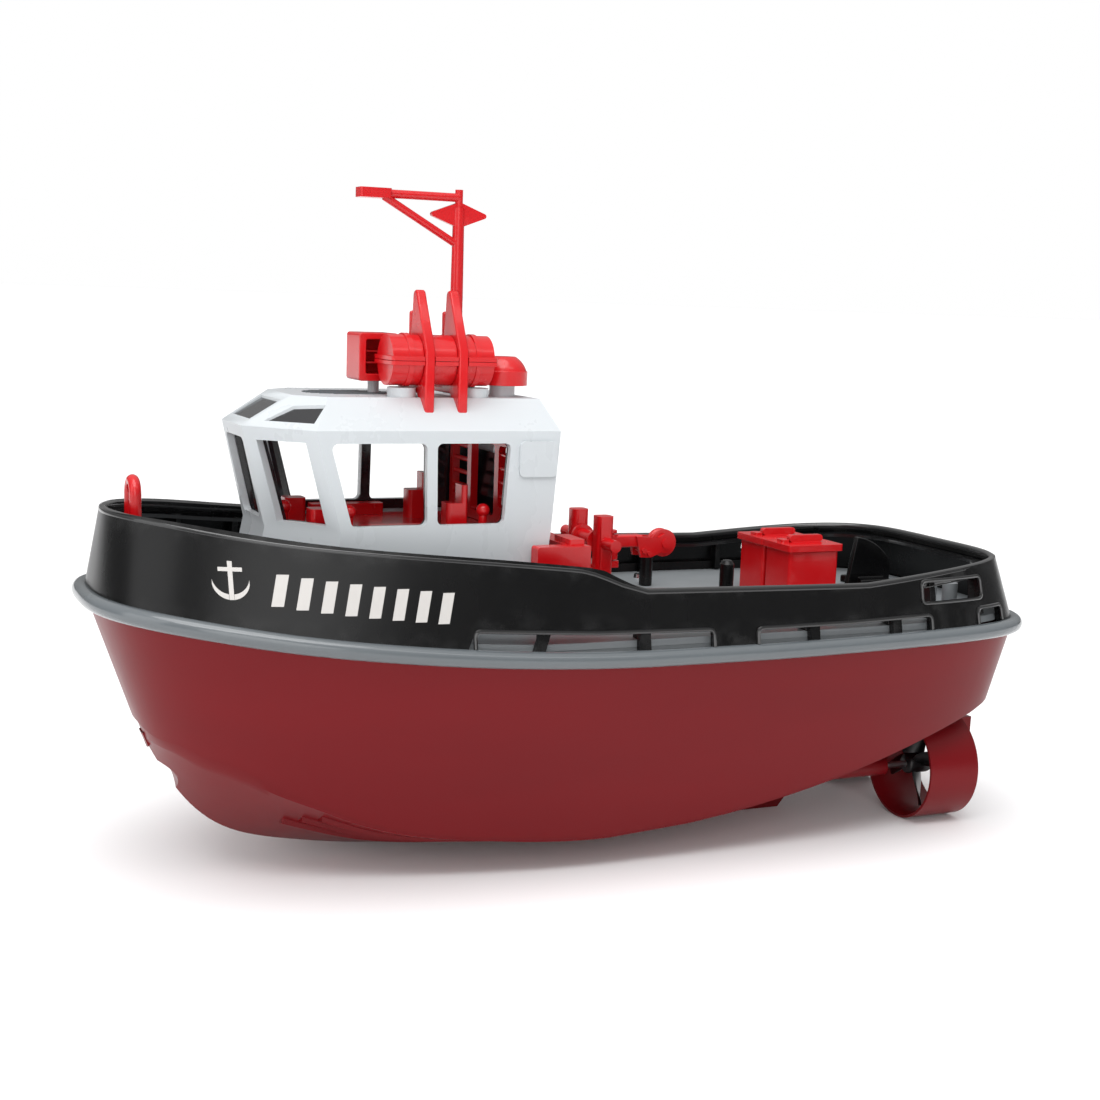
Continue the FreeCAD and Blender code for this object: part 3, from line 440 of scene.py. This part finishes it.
def superellipse(reach, beam, n, t):
    c, s = math.cos(t), math.sin(t)
    return reach * math.copysign(abs(c) ** (2 / n), c), beam * math.copysign(abs(s) ** (2 / n), s)


def flared_point(levels, t, z, outset=0.0):
    """Point at one plan angle and height on the surface ruled between two outlines."""
    share = (z / MM - levels[0][0]) / (levels[1][0] - levels[0][0])
    x = y = 0.0
    for level, weight in zip(levels, (1 - share, share)):
        _, bow, stern, beam, bow_n, stern_n = level
        reach, n = (stern, stern_n) if math.cos(t) >= 0 else (bow, bow_n)
        px, py = superellipse(reach * MM + outset, beam * MM + outset, n, t)
        x += px * weight
        y += py * weight
    return Vector((x, y, z))


def rail_point(t, z=0.0, inside=RAIL_R):
    """Point in the rail at one plan angle, by default on its centre line."""
    reach, beam = -CAD_BOX[0][0] - inside, -CAD_BOX[0][1] - inside
    n = RAIL_STERN_N if math.cos(t) >= 0 else RAIL_BOW_N
    return Vector((*superellipse(reach, beam, n, t), z))


class SideLine:
    """A line drawn on the ship's side: its height as a function of X, measured on a CAD node."""

    STEPS = 300
    DEPTHS = (0.5, 1.0, 1.5, 2.0, 2.5)

    def __init__(self, node, drop, place):
        mesh = NODES[node].data
        corners = [vertex.co for vertex in mesh.vertices]
        tree = BVHTree.FromPolygons(corners, [tuple(face.vertices) for face in mesh.polygons])
        samples = {}
        for k in range(1, self.STEPS):
            t = math.pi * k / self.STEPS
            tops = [self.crest(tree, place, t, depth * MM) for depth in self.DEPTHS]
            spot = max(tops, key=lambda top: top.z)
            if spot.z > 0:
                samples[round(spot.x, 6)] = spot.z - drop
        self.xs = sorted(samples)
        self.zs = [samples[x] for x in self.xs]

    @staticmethod
    def crest(tree, place, t, depth):
        """Highest point of the node at one plan angle and depth in from its outer face."""
        z = 90 * MM
        for _ in range(5):
            spot = place(t, z, depth)
            hit = tree.ray_cast(Vector((spot.x, spot.y, 0.3)), Vector((0, 0, -1)))[0]
            z = hit.z if hit else z
        return Vector((spot.x, spot.y, z if hit else 0.0))

    def __call__(self, x):
        k = min(max(bisect.bisect_right(self.xs, x), 1), len(self.xs) - 1)
        share = (x - self.xs[k - 1]) / (self.xs[k] - self.xs[k - 1])
        return self.zs[k - 1] + min(max(share, 0.0), 1.0) * (self.zs[k] - self.zs[k - 1])


sheer = SideLine("rub_rail", RAIL_R, rail_point)
rim = SideLine("bulwark", 0.0, lambda t, z, depth: flared_point(BULWARK, t, z, -depth))


def on_line(levels, t, line, outset=0.0):
    """Point of a flared surface where a side line crosses one plan angle."""
    z = 80 * MM
    for _ in range(6):
        z = line(flared_point(levels, t, z, outset).x)
    return flared_point(levels, t, z, outset)


def angle_at(levels, x, z):
    low, high = 0.0, math.pi
    for _ in range(40):
        middle = (low + high) / 2
        low, high = (middle, high) if flared_point(levels, middle, z).x > x else (low, middle)
    return (low + high) / 2


def wall_at(x, z, side, outset=0.0):
    """Point on the bulwark's outer face at one station, height and side."""
    point = flared_point(BULWARK, angle_at(BULWARK, x, z), z, outset)
    return Vector((point.x, side * abs(point.y), z))


# ---- hull, rail and bulwark ----------------------------------------------------------
def rubbing_rail():
    """Round rail swept along the sheer."""
    count = 260
    path = []
    for k in range(count):
        spot = rail_point(2 * math.pi * k / count)
        path.append(Vector((spot.x, spot.y, sheer(spot.x))))
    bm = bmesh.new()
    sweep(bm, path, circle(RAIL_R, 20), closed=True)
    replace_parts(new_piece("rub_rail_round", bm, "rail_grey", "hull"), "rub_rail")


def meet_bottom(t, inset, lift):
    """Height where the topside, drawn in by an inset, meets the bottom."""
    low, high = 0.0, 80 * MM
    for _ in range(40):
        middle = (low + high) / 2
        point = flared_point(TOPSIDE, t, middle, -inset)
        low, high = (middle, high) if middle < bottom_height(point.x, point.y) + lift else (low, middle)
    return high


def hull_column(t, side_rows=16, bottom_rows=12):
    """One section of the outside: down the topside, in at the chine's lip, and in to the keel."""
    top = on_line(TOPSIDE, t, sheer)
    chine_z = meet_bottom(t, 0.0, CHINE_LIP_HEIGHT)
    drop = chine_z - top.z
    column = [flared_point(TOPSIDE, t, top.z + drop * k / side_rows) for k in range(side_rows + 1)]
    column.append(flared_point(TOPSIDE, t, chine_z, -CHINE_LIP))
    foot = flared_point(TOPSIDE, t, meet_bottom(t, CHINE_LIP, 0.0), -CHINE_LIP)
    for k in range(bottom_rows + 1):
        y = foot.y * (1 - k / bottom_rows)
        column.append(Vector((foot.x, y, bottom_height(foot.x, y))))
    return column


def hull_body(count=240):
    """Closed outside of the hull, capped at the sheer; the cap has material index 1."""
    bm = bmesh.new()
    angles = [2 * math.pi * (k + 0.5) / count for k in range(count)]
    columns = [[bm.verts.new(point) for point in hull_column(t)] for t in angles]
    for k in range(count):
        left, right = columns[k], columns[(k + 1) % count]
        for a in range(len(left) - 1):
            bm.faces.new((left[a], left[a + 1], right[a + 1], right[a]))
    for k in range(count // 2):
        quad = [columns[i][0] for i in (k, (k + 1) % count, count - 2 - k, count - 1 - k)]
        if len(set(quad)) == 4:
            bm.faces.new(quad).material_index = 1
    bmesh.ops.remove_doubles(bm, verts=bm.verts, dist=0.02 * MM)
    bmesh.ops.recalc_face_normals(bm, faces=bm.faces)
    return bm


def evaluated(bm, *modifiers):
    """The bmesh after a stack of modifiers given as (type, settings)."""
    mesh = bpy.data.meshes.new("work")
    bm.to_mesh(mesh)
    bm.free()
    work = bpy.data.objects.new("work", mesh)
    SCENE.collection.objects.link(work)
    for kind, settings in modifiers:
        modifier = work.modifiers.new(kind.lower(), kind)
        for key, value in settings.items():
            setattr(modifier, key, value)
    graph = bpy.context.evaluated_depsgraph_get()
    result = bpy.data.meshes.new_from_object(work.evaluated_get(graph))
    bm = bmesh.new()
    bm.from_mesh(result)
    bpy.data.objects.remove(work)
    bpy.data.meshes.remove(mesh)
    bpy.data.meshes.remove(result)
    return bm


def cut_away(bm, cutter):
    """The bmesh less another closed bmesh."""
    mesh = bpy.data.meshes.new("cutter")
    cutter.to_mesh(mesh)
    cutter.free()
    tool = bpy.data.objects.new("cutter", mesh)
    SCENE.collection.objects.link(tool)
    bm = evaluated(bm, ("BOOLEAN", {"operation": "DIFFERENCE", "solver": "EXACT", "object": tool}))
    bpy.data.objects.remove(tool)
    bpy.data.meshes.remove(mesh)
    return bm


def rod(bm, start, end, radius, count=40):
    """Closed round bar."""
    axis = (end - start).normalized()
    side = axis.orthogonal().normalized()
    lift = axis.cross(side)
    rings = []
    for place in (start, end):
        rings.append([bm.verts.new(place + side * a + lift * b) for a, b in circle(radius, count)])
    for k in range(count):
        i = (k + 1) % count
        bm.faces.new((rings[0][k], rings[0][i], rings[1][i], rings[1][k]))
    bm.faces.new(list(reversed(rings[0])))
    bm.faces.new(rings[1])


def hull_skin():
    """Moulded hull: one smooth shell with its forefoot notch and the holes for shafts and stocks."""
    notch_x, notch_z, notch_r = NOTCH
    notch = bmesh.new()
    rod(notch, Vector((notch_x, -0.03, notch_z)), Vector((notch_x, 0.03, notch_z)), notch_r, 64)
    bm = cut_away(hull_body(), notch)
    bmesh.ops.delete(bm, geom=[f for f in bm.faces if f.material_index == 1], context="FACES")
    bm = evaluated(bm, ("SOLIDIFY", {"thickness": WALL_T, "offset": -1.0}))
    holes = bmesh.new()
    for side in SIDES.values():
        y = side * SHAFT_Y
        start, end, radius = (size * MM for size in STOCK_HOLE)
        rod(holes, Vector((STOCK_X, y, start)), Vector((STOCK_X, y, end)), radius)
        start, end, radius = (size * MM for size in SHAFT_HOLE)
        rod(holes, Vector((start, y, SHAFT_Z)), Vector((end, y, SHAFT_Z)), radius)
    bm = cut_away(bm, holes)
    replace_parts(new_piece("hull_skin", bm, "hull_maroon", "hull", 24), "hull_shell")


# Height of the freeing ports' tops along the side (mm).
port_line = cubic_through([(-150, 84.5), (-100, 78.0), (-50, 74.3), (-15, 72.4), (20, 71.8), (34, 71.4),
                           (67, 71.6), (94, 72.2), (125, 72.8), (150, 73.0)])


def wall_rows(x):
    """Heights of the bulwark's mesh rows at one station, from the rail to the rim."""
    port_top, top = port_line(x / MM) * MM, rim(x)
    start, end = ROWS_BLEND
    blend = min(max((x / MM - start) / (end - start), 0.0), 1.0)
    rows = [sheer(x), port_top]
    for share, level in zip((0.35, 0.7), QUARTER_WINDOW[2:]):
        even = port_top + (top - port_top) * share
        rows.append(even + (level * MM - even) * blend)
    return rows + [top]


def wall_angles():
    """Plan angles of the bulwark's columns: even ones, and one at each edge of an opening."""
    edges = [x for x0, x1, _ in PORTS for x in (x0, x1)] + list(QUARTER_WINDOW[:2])
    angles = [angle_at(BULWARK, x * MM, PORT_Z) for x in edges]
    count = 120
    for k in range(1, count):
        t = math.pi * k / count
        if min(abs(t - a) for a in angles) > 0.4 * math.pi / count:
            angles.append(t)
    return [0.0] + sorted(angles) + [math.pi]


def column_angle(t, z):
    """Plan angle of a column at one height: columns stand at one X, from amidships to the quarter."""
    mirrored = t > math.pi
    t = 2 * math.pi - t if mirrored else t
    if t < math.pi / 2:
        last = (QUARTER_WINDOW[1] + 4) * MM
        edge = angle_at(BULWARK, last, PORT_Z)
        if t > edge:
            t = angle_at(BULWARK, flared_point(BULWARK, t, PORT_Z).x, z)
        else:
            t *= angle_at(BULWARK, last, z) / edge
    return 2 * math.pi - t if mirrored else t


def is_open(x, row):
    x = x / MM
    if row == 0:
        return any(x0 < x < x1 for x0, x1, _ in PORTS)
    return row == 2 and QUARTER_WINDOW[0] < x < QUARTER_WINDOW[1]


def bulwark_skin():
    """Bulwark as one flared sheet with its openings left out, thickened inwards."""
    bm = bmesh.new()
    half = wall_angles()
    angles = half + [2 * math.pi - t for t in reversed(half[1:-1])]
    columns = []
    for t in angles:
        x = flared_point(BULWARK, t, PORT_Z).x
        columns.append([bm.verts.new(flared_point(BULWARK, column_angle(t, z), z)) for z in wall_rows(x)])
    for k, left in enumerate(columns):
        right = columns[(k + 1) % len(columns)]
        middle = (left[1].co.x + right[1].co.x) / 2
        for row in range(len(left) - 1):
            if not is_open(middle, row):
                bm.faces.new((left[row], right[row], right[row + 1], left[row + 1]))
    bmesh.ops.recalc_face_normals(bm, faces=bm.faces)
    bm = evaluated(bm, ("SOLIDIFY", {"thickness": WALL_T, "offset": -1.0}))
    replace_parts(new_piece("bulwark_skin", bm, "bulwark_black", "hull"), "bulwark")


def along_wall(line, drop, outset, count=280):
    """Closed path round the bulwark, a drop below a side line and an outset from its face (mm)."""
    angles = [2 * math.pi * k / count for k in range(count)]
    down = Vector((0, 0, drop * MM))
    return [on_line(BULWARK, t, line, outset * MM) - down for t in angles]


def bulwark_rim():
    """Rolled bead along the bulwark's crest, a fine line below it, and a ledge inside."""
    bm = bmesh.new()
    for (drop, outset, radius), count in ((CREST_BEAD, 14), (CREST_LINE, 8)):
        sweep(bm, along_wall(rim, drop, outset), circle(radius * MM, count), closed=True)
    ledge = rectangle(1.6 * MM, -0.5 * MM, 0.5 * MM)
    sweep(bm, along_wall(rim, 3.4, -3.4), ledge, closed=True)
    new_piece("bulwark_rim", bm, "bead_black", "hull")


def rounded_path(corners, radius, closed, steps=5):
    """Side-view line through corners, each rounded by an arc (input and output in metres)."""
    count = len(corners)
    path = []
    for k, corner in enumerate(corners):
        if not closed and k in (0, count - 1):
            path.append(Vector(corner))
            continue
        here = Vector(corner)
        before, after = Vector(corners[k - 1]) - here, Vector(corners[(k + 1) % count]) - here
        start, end = here + before.normalized() * radius, here + after.normalized() * radius
        for j in range(steps + 1):
            u = j / steps
            path.append(start * (1 - u) ** 2 + here * 2 * u * (1 - u) + end * u ** 2)
    return path


def divided(path, closed, longest=2.5 * MM):
    """The same line with no step longer than a limit."""
    result = []
    for k, point in enumerate(path):
        result.append(point)
        if k == len(path) - 1 and not closed:
            break
        gap = path[(k + 1) % len(path)] - point
        steps = int(gap.length / longest)
        result += [point + gap * (j / (steps + 1)) for j in range(1, steps + 1)]
    return result


def port_frames():
    """Raised lips round the freeing ports and the quarter windows."""
    x0, x1, z0, z1 = QUARTER_WINDOW
    window = [(x * MM, z * MM) for x, z in ((x0, z0), (x1, z0), (x1, z1), (x0, z1))]
    level = Vector((0, 1, 0))
    for side_name, side in SIDES.items():
        bm = bmesh.new()
        for start, end, top0, top1 in PORT_GROUPS:
            foot0, foot1 = sheer(start * MM) + RAIL_R, sheer(end * MM) + RAIL_R
            corners = [(start * MM, foot0), (start * MM, top0 * MM)]
            corners += [(end * MM, top1 * MM), (end * MM, foot1)]
            if end - start > 30:
                middle = (start + end) / 2
                corners.insert(2, (middle * MM, port_line(middle) * MM))
            path = divided(rounded_path(corners, 1.8 * MM, False), False)
            lip = [wall_at(p.x, p.y, side, 0.15 * MM) for p in path]
            sweep(bm, lip, circle(PORT_LIP_R * MM, 8), up=level)
        path = divided(rounded_path(window, 1.6 * MM, True), True)
        lip = [wall_at(p.x, p.y, side, 0.1 * MM) for p in path]
        sweep(bm, lip, circle(WINDOW_LIP_R * MM, 8), closed=True, up=level)
        new_piece(side_name + "_port_frames", bm, "bead_black", "hull")


def bulwark_ribs():
    """Upright stays inside the bulwark, deeper at the foot."""
    for side_name, side in SIDES.items():
        bm = bmesh.new()
        half = 1.0 * MM
        for station in RIB_STATIONS:
            x = station * MM
            foot = wall_at(x, sheer(x) + 4.5 * MM, side, -WALL_T + 0.2 * MM)
            head = wall_at(x, rim(x) - 3.0 * MM, side, -WALL_T + 0.2 * MM)
            inward = Vector((-0.5 * x / abs(x) if abs(x) > 0.1 else 0, -side, 0)).normalized()
            under = head + inward * 2.8 * MM - Vector((0, 0, 2 * MM))
            corners = [foot, head, head + inward * 3.0 * MM, under, foot + inward * 4.6 * MM]
            along = Vector((inward.y, -inward.x, 0)) * half
            slab(bm, [c - along for c in corners], along * 2)
        round_edges(new_piece(side_name + "_bulwark_ribs", bm, "bulwark_black", "hull"), 0.25 * MM)


def waterway_bar():
    """Bar along the foot of the starboard bulwark, just inside its freeing ports."""
    bm = bmesh.new()
    path = [wall_at(x * MM, DECK_LEVEL + 1.2 * MM, SIDES["starboard"], -3.2 * MM) for x in WATERWAY]
    sweep(bm, path, rectangle(0.7 * MM, -1.4 * MM, 1.6 * MM))
    round_edges(new_piece("waterway_bar", bm, "bulwark_black", "hull"), 0.2 * MM)


def deck_upstands():
    """Low grey wall at the deck's edge, seen through the lower half of the freeing ports."""
    for side_name, side in SIDES.items():
        bm = bmesh.new()
        path = [wall_at(x * MM, DECK_LEVEL - 1.7 * MM, side, -3.0 * MM) for x in DECK_EDGE]
        sweep(bm, path, rectangle(0.5 * MM, -2.0 * MM, 1.6 * MM))
        new_piece(side_name + "_deck_upstand", bm, "deck_grey", "hull")


def bottom_strakes():
    """Three wedge strakes on each side of the bottom, full at the front and running out aft."""
    for side_name, side in SIDES.items():
        bm = bmesh.new()
        for start, end, y in STRAKES:
            rings = []
            count = 18
            for k in range(count + 1):
                share = k / count
                x = (start + share * (end - start)) * MM
                inner = y * MM * (0.82 + 0.3 * share)
                wide = (3.6 - 2.6 * share) * MM
                proud = 1.5 * MM * (1 - share) + 0.1 * MM
                z_in, z_out = bottom_height(x, inner), bottom_height(x, inner + wide)
                rings.append([bm.verts.new(Vector((x, side * inner, z_in + 0.5 * MM))),
                              bm.verts.new(Vector((x, side * inner, z_in - 0.05 * MM))),
                              bm.verts.new(Vector((x, side * (inner + wide), max(0.0, z_out - proud)))),
                              bm.verts.new(Vector((x, side * (inner + wide), z_out + 0.5 * MM)))])
            for first, second in zip(rings, rings[1:]):
                for j in range(4):
                    i = (j + 1) % 4
                    bm.faces.new((first[j], first[i], second[i], second[j]))
            bm.faces.new(rings[0])
            bm.faces.new(list(reversed(rings[-1])))
        new_piece(side_name + "_bottom_strakes", bm, "hull_maroon", "hull", 20)


# ---- markings --------------------------------------------------------------------------
def print_spot(bm, side, x, z):
    """Vertex of a print on the bulwark's face, at one station and height in millimetres."""
    return bm.verts.new(wall_at(x * MM, z * MM, side, PRINT_PROUD))


def printed_patch(bm, side, columns):
    """Print on the bulwark's face from (x, low, high) columns in millimetres."""
    pairs = [[print_spot(bm, side, x, z) for z in (low, high)] for x, low, high in columns]
    for left, right in zip(pairs, pairs[1:]):
        bm.faces.new((left[0], right[0], right[1], left[1]))


def bulwark_markings():
    """Plain slanted bars and an anchor, in place of any name."""
    count, first, pitch, up, wide, lean, half = BARS
    for side_name, side in SIDES.items():
        bm = bmesh.new()
        for number in range(count):
            left = first + number * pitch
            middle = sheer(left * MM) / MM + up
            rows = [(left + lean * k / 3, middle - half + 2 * half * k / 3) for k in range(4)]
            corners = [[print_spot(bm, side, x + w, z) for w in (0, wide / 2, wide)] for x, z in rows]
            for low, high in zip(corners, corners[1:]):
                for a, b, c, d in zip(low, low[1:], high[1:], high):
                    bm.faces.new((a, b, c, d))
        anchor(bm, side)
        new_piece(side_name + "_bulwark_marks", bm, "marking_grey", "hull")


def anchor(bm, side):
    """Generic anchor: shank, stock and two arms."""
    x, z = ANCHOR_X, sheer(ANCHOR_X * MM) / MM + ANCHOR_UP
    printed_patch(bm, side, [(x - 0.55, z - 5.0, z + 4.4), (x + 0.55, z - 5.0, z + 4.4)])
    for way in (-1, 1):
        printed_patch(bm, side, [(x + way * 0.55, z + 1.9, z + 2.9), (x + way * 2.8, z + 1.9, z + 2.9)])
        angles = [math.radians(8 + 72 * k / 8) for k in range(9)]
        printed_patch(bm, side, [(x + way * 4.4 * math.sin(a), z - 0.6 - 4.4 * math.cos(a),
                                  z + 0.7 - 4.4 * math.cos(a)) for a in angles])


# ---- roof print, propellers ---------------------------------------------------------------
def roof_grille():
    """Oval of shallow vent slats on the wheelhouse roof."""
    station, half_long, half_wide, rows, wide, tall = GRILLE
    centre = Vector((station * MM, 0, ROOF_Z - 0.05 * MM))
    half_long, half_wide, wide, tall = half_long * MM, half_wide * MM, wide * MM, tall * MM
    bm = bmesh.new()
    for k in range(rows):
        y = half_wide * (2 * (k + 0.5) / rows - 1)
        reach = half_long * math.sqrt(max(0.0, 1 - (y / half_wide) ** 2))
        corner = centre + Vector((-reach, y - wide / 2, 0))
        ring = [corner + Vector((along, across, 0))
                for along, across in ((0, 0), (2 * reach, 0), (2 * reach, wide), (0, wide))]
        slab(bm, ring, Vector((0, 0, tall)))
    new_piece("roof_grille", bm, "rail_grey", "wheelhouse")


def arc(y, z, radius, start, end, steps=8):
    """Points (y, z) round an arc, in degrees from +y towards +z."""
    turns = [math.radians(start + (end - start) * k / steps) for k in range(steps + 1)]
    return [(y + radius * math.cos(a), z + radius * math.sin(a)) for a in turns]


def raft_plate_outline():
    """One plate in (y, z) millimetres: a low foot on the eave, a sloping front and a round tip."""
    foot = arc(-23.6, 127.9, 1.0, 180, 240, 3)
    back = [(-22.2, 126.9), (-17.4, 133.4), (-11.2, 133.4), (-11.2, 146.0), (-12.9, 159.6)]
    return foot + back + arc(-14.6, 159.6, 1.7, 5, 158, 8) + [(-24.6, 145.2)]


def cradle_blades():
    """Tall plates that grip the raft, each with a slim horn behind it and an arm along the roof."""
    horn = [(-10.4, 133.4), (-8.6, 133.4)] + arc(-9.5, 154.7, 0.9, 0, 180, 6)
    arm = [(-12.0, 133.4), (-1.5, 133.4), (-1.5, 135.2), (-12.0, 135.2)]
    bm = bmesh.new()
    for x in RAFT_PLATE_X:
        for outline, inset in ((raft_plate_outline(), 0.0), (horn, 0.4), (arm, 0.0)):
            corners = [Vector(((x + inset) * MM, y * MM, z * MM)) for y, z in outline]
            slab(bm, corners, Vector(((RAFT_PLATE_T - 2 * inset) * MM, 0, 0)))
    piece = new_piece("cradle_blades", bm, "trim_red", "wheelhouse")
    round_edges(piece, 0.55 * MM, 3)
    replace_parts(piece, "raft_cradle")


def propeller_blade(bm, centre, turn, hand):
    """One twisted, cupped blade built as a lofted aerofoil strip."""
    rings = []
    stations, points = 9, 12
    for k in range(stations + 1):
        share = k / stations
        radius = (BLADE_ROOT + share * BLADE_SPAN) * MM
        tip = 1.0 if share < 0.85 else 0.86 - (share - 0.85) * 2.4
        chord = (3.2 + 5.2 * math.sin(math.pi * (0.18 + 0.62 * share))) * MM * tip
        pitch = math.radians(62 - 34 * share) * hand
        ring = []
        for j in range(points):
            angle = 2 * math.pi * j / points
            along = chord / 2 * math.cos(angle)
            cupped = 0.5 * MM * (math.cos(angle) ** 2 - 0.5) * share
            thick = 0.55 * MM * (1 - 0.5 * share) * math.sin(angle) + cupped
            x = along * math.sin(pitch) + thick * math.cos(pitch)
            sideways = along * math.cos(pitch) - thick * math.sin(pitch)
            place = turn + sideways / radius
            spot = Vector((x, radius * math.sin(place), radius * math.cos(place)))
            ring.append(bm.verts.new(centre + spot))
        rings.append(ring)
    for first, second in zip(rings, rings[1:]):
        for j in range(points):
            i = (j + 1) % points
            bm.faces.new((first[j], first[i], second[i], second[j]))
    bm.faces.new(rings[0])
    bm.faces.new(list(reversed(rings[-1])))


def lathe(bm, centre, stations, count=28):
    """Body of revolution along X from (x, radius) stations."""
    rings = []
    for x, radius in stations:
        spots = [Vector((x, across, up)) for up, across in circle(radius, count)]
        rings.append([bm.verts.new(centre + spot) for spot in spots])
    for first, second in zip(rings, rings[1:]):
        for k in range(count):
            i = (k + 1) % count
            bm.faces.new((first[k], first[i], second[i], second[k]))
    bm.faces.new(rings[0])
    bm.faces.new(list(reversed(rings[-1])))


def propellers():
    """Four-bladed propellers, one right-handed and one left-handed."""
    for side_name, side in SIDES.items():
        node = side_name + "_propeller"
        low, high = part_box(node)
        centre = Vector((low.x - HUB[0][0] * MM, (low.y + high.y) / 2, (low.z + high.z) / 2))
        bm = bmesh.new()
        lathe(bm, centre, [(x * MM, radius * MM) for x, radius in HUB])
        for k in range(BLADES):
            propeller_blade(bm, centre, 2 * math.pi / BLADES * k + 0.3, side)
        piece = new_piece(node + "_cast", bm, "propeller_black", node, 50)
        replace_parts(piece, node)


# ---- carried-over nodes ---------------------------------------------------------------------
SLOTS = {entry["node"]: entry["material_slot"] for entry in frame["record"]["subparts"]}
# Nodes whose edges are rounded, by the width of the rounding (mm).
SOFT = {}
for width, nodes in (
        (0.2, "mast"),
        (0.25, "tow_arm life_raft_upper life_raft_lower"),
        (0.3, "towing_posts light_box house_coaming rear_bulkhead bow_staple battery_tray steering_servo"),
        (0.35, "wheelhouse_shell port_aft_box_lid starboard_aft_box_lid cabin_interior"),
        (0.4, "port_aft_box starboard_aft_box stern_fin deck_posts quay_bollards stern_plinth"),
        (0.4, "port_rudder starboard_rudder port_nozzle starboard_nozzle"),
        (0.45, "winch_base"),
        (0.5, "keel_skeg vent_dome")):
    for node in nodes.split():
        SOFT[node] = width
REMADE = ("rub_rail", "hull_shell", "bulwark", "port_propeller", "starboard_propeller",
          "raft_cradle")


def carried_nodes():
    """Every other node: rounded where its edges show, and finished in its slot's material."""
    for node in sorted(NODES):
        if node in REMADE:
            continue
        if node in SOFT:
            refined(node, SLOTS[node], SOFT[node] * MM, 28.0)
        else:
            NODES[node].data.materials.clear()
            NODES[node].data.materials.append(MATERIALS[SLOTS[node]])


# ---- stage ------------------------------------------------------------------------------------
def stage():
    """Wide floor of white paper."""
    bm = bmesh.new()
    bmesh.ops.create_grid(bm, x_segments=8, y_segments=8, size=60.0)
    mesh = bpy.data.meshes.new("floor")
    bm.to_mesh(mesh)
    bm.free()
    floor = bpy.data.objects.new("floor", mesh)
    floor.data.materials.append(floor_paper())
    SCENE.collection.objects.link(floor)


def area_light(name, place, aim, size, power):
    data = bpy.data.lights.new(name, "AREA")
    data.shape = "RECTANGLE"
    data.size, data.size_y = size
    data.energy = power
    light = bpy.data.objects.new(name, data)
    light.location = place
    light.rotation_euler = (Vector(aim) - Vector(place)).to_track_quat("-Z", "Y").to_euler()
    SCENE.collection.objects.link(light)


def studio_world():
    """White surroundings to look at; a dim room with a bright ceiling to light and be reflected."""
    world = bpy.data.worlds.new("studio")
    world.use_nodes = True
    tree = world.node_tree
    room = tree.nodes["Background"]
    room.inputs["Color"].default_value = (1, 1, 1, 1)
    place = tree.nodes.new("ShaderNodeTexCoord")
    split = tree.nodes.new("ShaderNodeSeparateXYZ")
    height = tree.nodes.new("ShaderNodeMapRange")
    height.inputs["From Min"].default_value = 0.05
    height.inputs["From Max"].default_value = 0.95
    height.inputs["To Min"].default_value = WORLD_HORIZON
    height.inputs["To Max"].default_value = WORLD_ZENITH
    tree.links.new(place.outputs["Generated"], split.inputs["Vector"])
    tree.links.new(split.outputs["Z"], height.inputs["Value"])
    tree.links.new(height.outputs["Result"], room.inputs["Strength"])
    white = tree.nodes.new("ShaderNodeBackground")
    white.inputs["Color"].default_value = (1, 1, 1, 1)
    seen = tree.nodes.new("ShaderNodeLightPath")
    choose = tree.nodes.new("ShaderNodeMixShader")
    tree.links.new(seen.outputs["Is Camera Ray"], choose.inputs["Fac"])
    tree.links.new(room.outputs["Background"], choose.inputs[1])
    tree.links.new(white.outputs["Background"], choose.inputs[2])
    tree.links.new(choose.outputs["Shader"], tree.nodes["World Output"].inputs["Surface"])
    SCENE.world = world


def soft_sun(name, direction, energy, spread):
    data = bpy.data.lights.new(name, "SUN")
    data.energy = energy
    data.angle = math.radians(spread)
    sun = bpy.data.objects.new(name, data)
    sun.rotation_euler = Vector(direction).to_track_quat("-Z", "Y").to_euler()
    SCENE.collection.objects.link(sun)


def lights():
    """Soft overhead light, a low one from the front, and two boxes that show as highlights."""
    studio_world()
    for name, (direction, energy, spread) in SUNS.items():
        soft_sun(name, direction, energy, spread)
    for name, (place, aim, size, power) in BOXES.items():
        area_light(name, place, aim, size, power)


def camera():
    """Low three-quarter view on the port bow."""
    data = bpy.data.cameras.new("view")
    data.sensor_width = 36.0
    data.lens = CAMERA_LENS
    right = Vector(CAMERA_RIGHT).normalized()
    forward = Vector(CAMERA_FORWARD).normalized()
    up = right.cross(forward).normalized()
    right = forward.cross(up).normalized()
    matrix = Matrix((right, up, -forward)).transposed().to_4x4()
    matrix.translation = Vector(CAMERA_AT)
    view = bpy.data.objects.new("view", data)
    view.matrix_world = matrix
    SCENE.collection.objects.link(view)
    SCENE.camera = view


carried_nodes()
hull_skin()
bottom_strakes()
rubbing_rail()
bulwark_skin()
bulwark_rim()
port_frames()
bulwark_ribs()
waterway_bar()
deck_upstands()
bulwark_markings()
roof_grille()
cradle_blades()
propellers()
stage()
lights()
camera()
SCENE.view_settings.view_transform = "Standard"
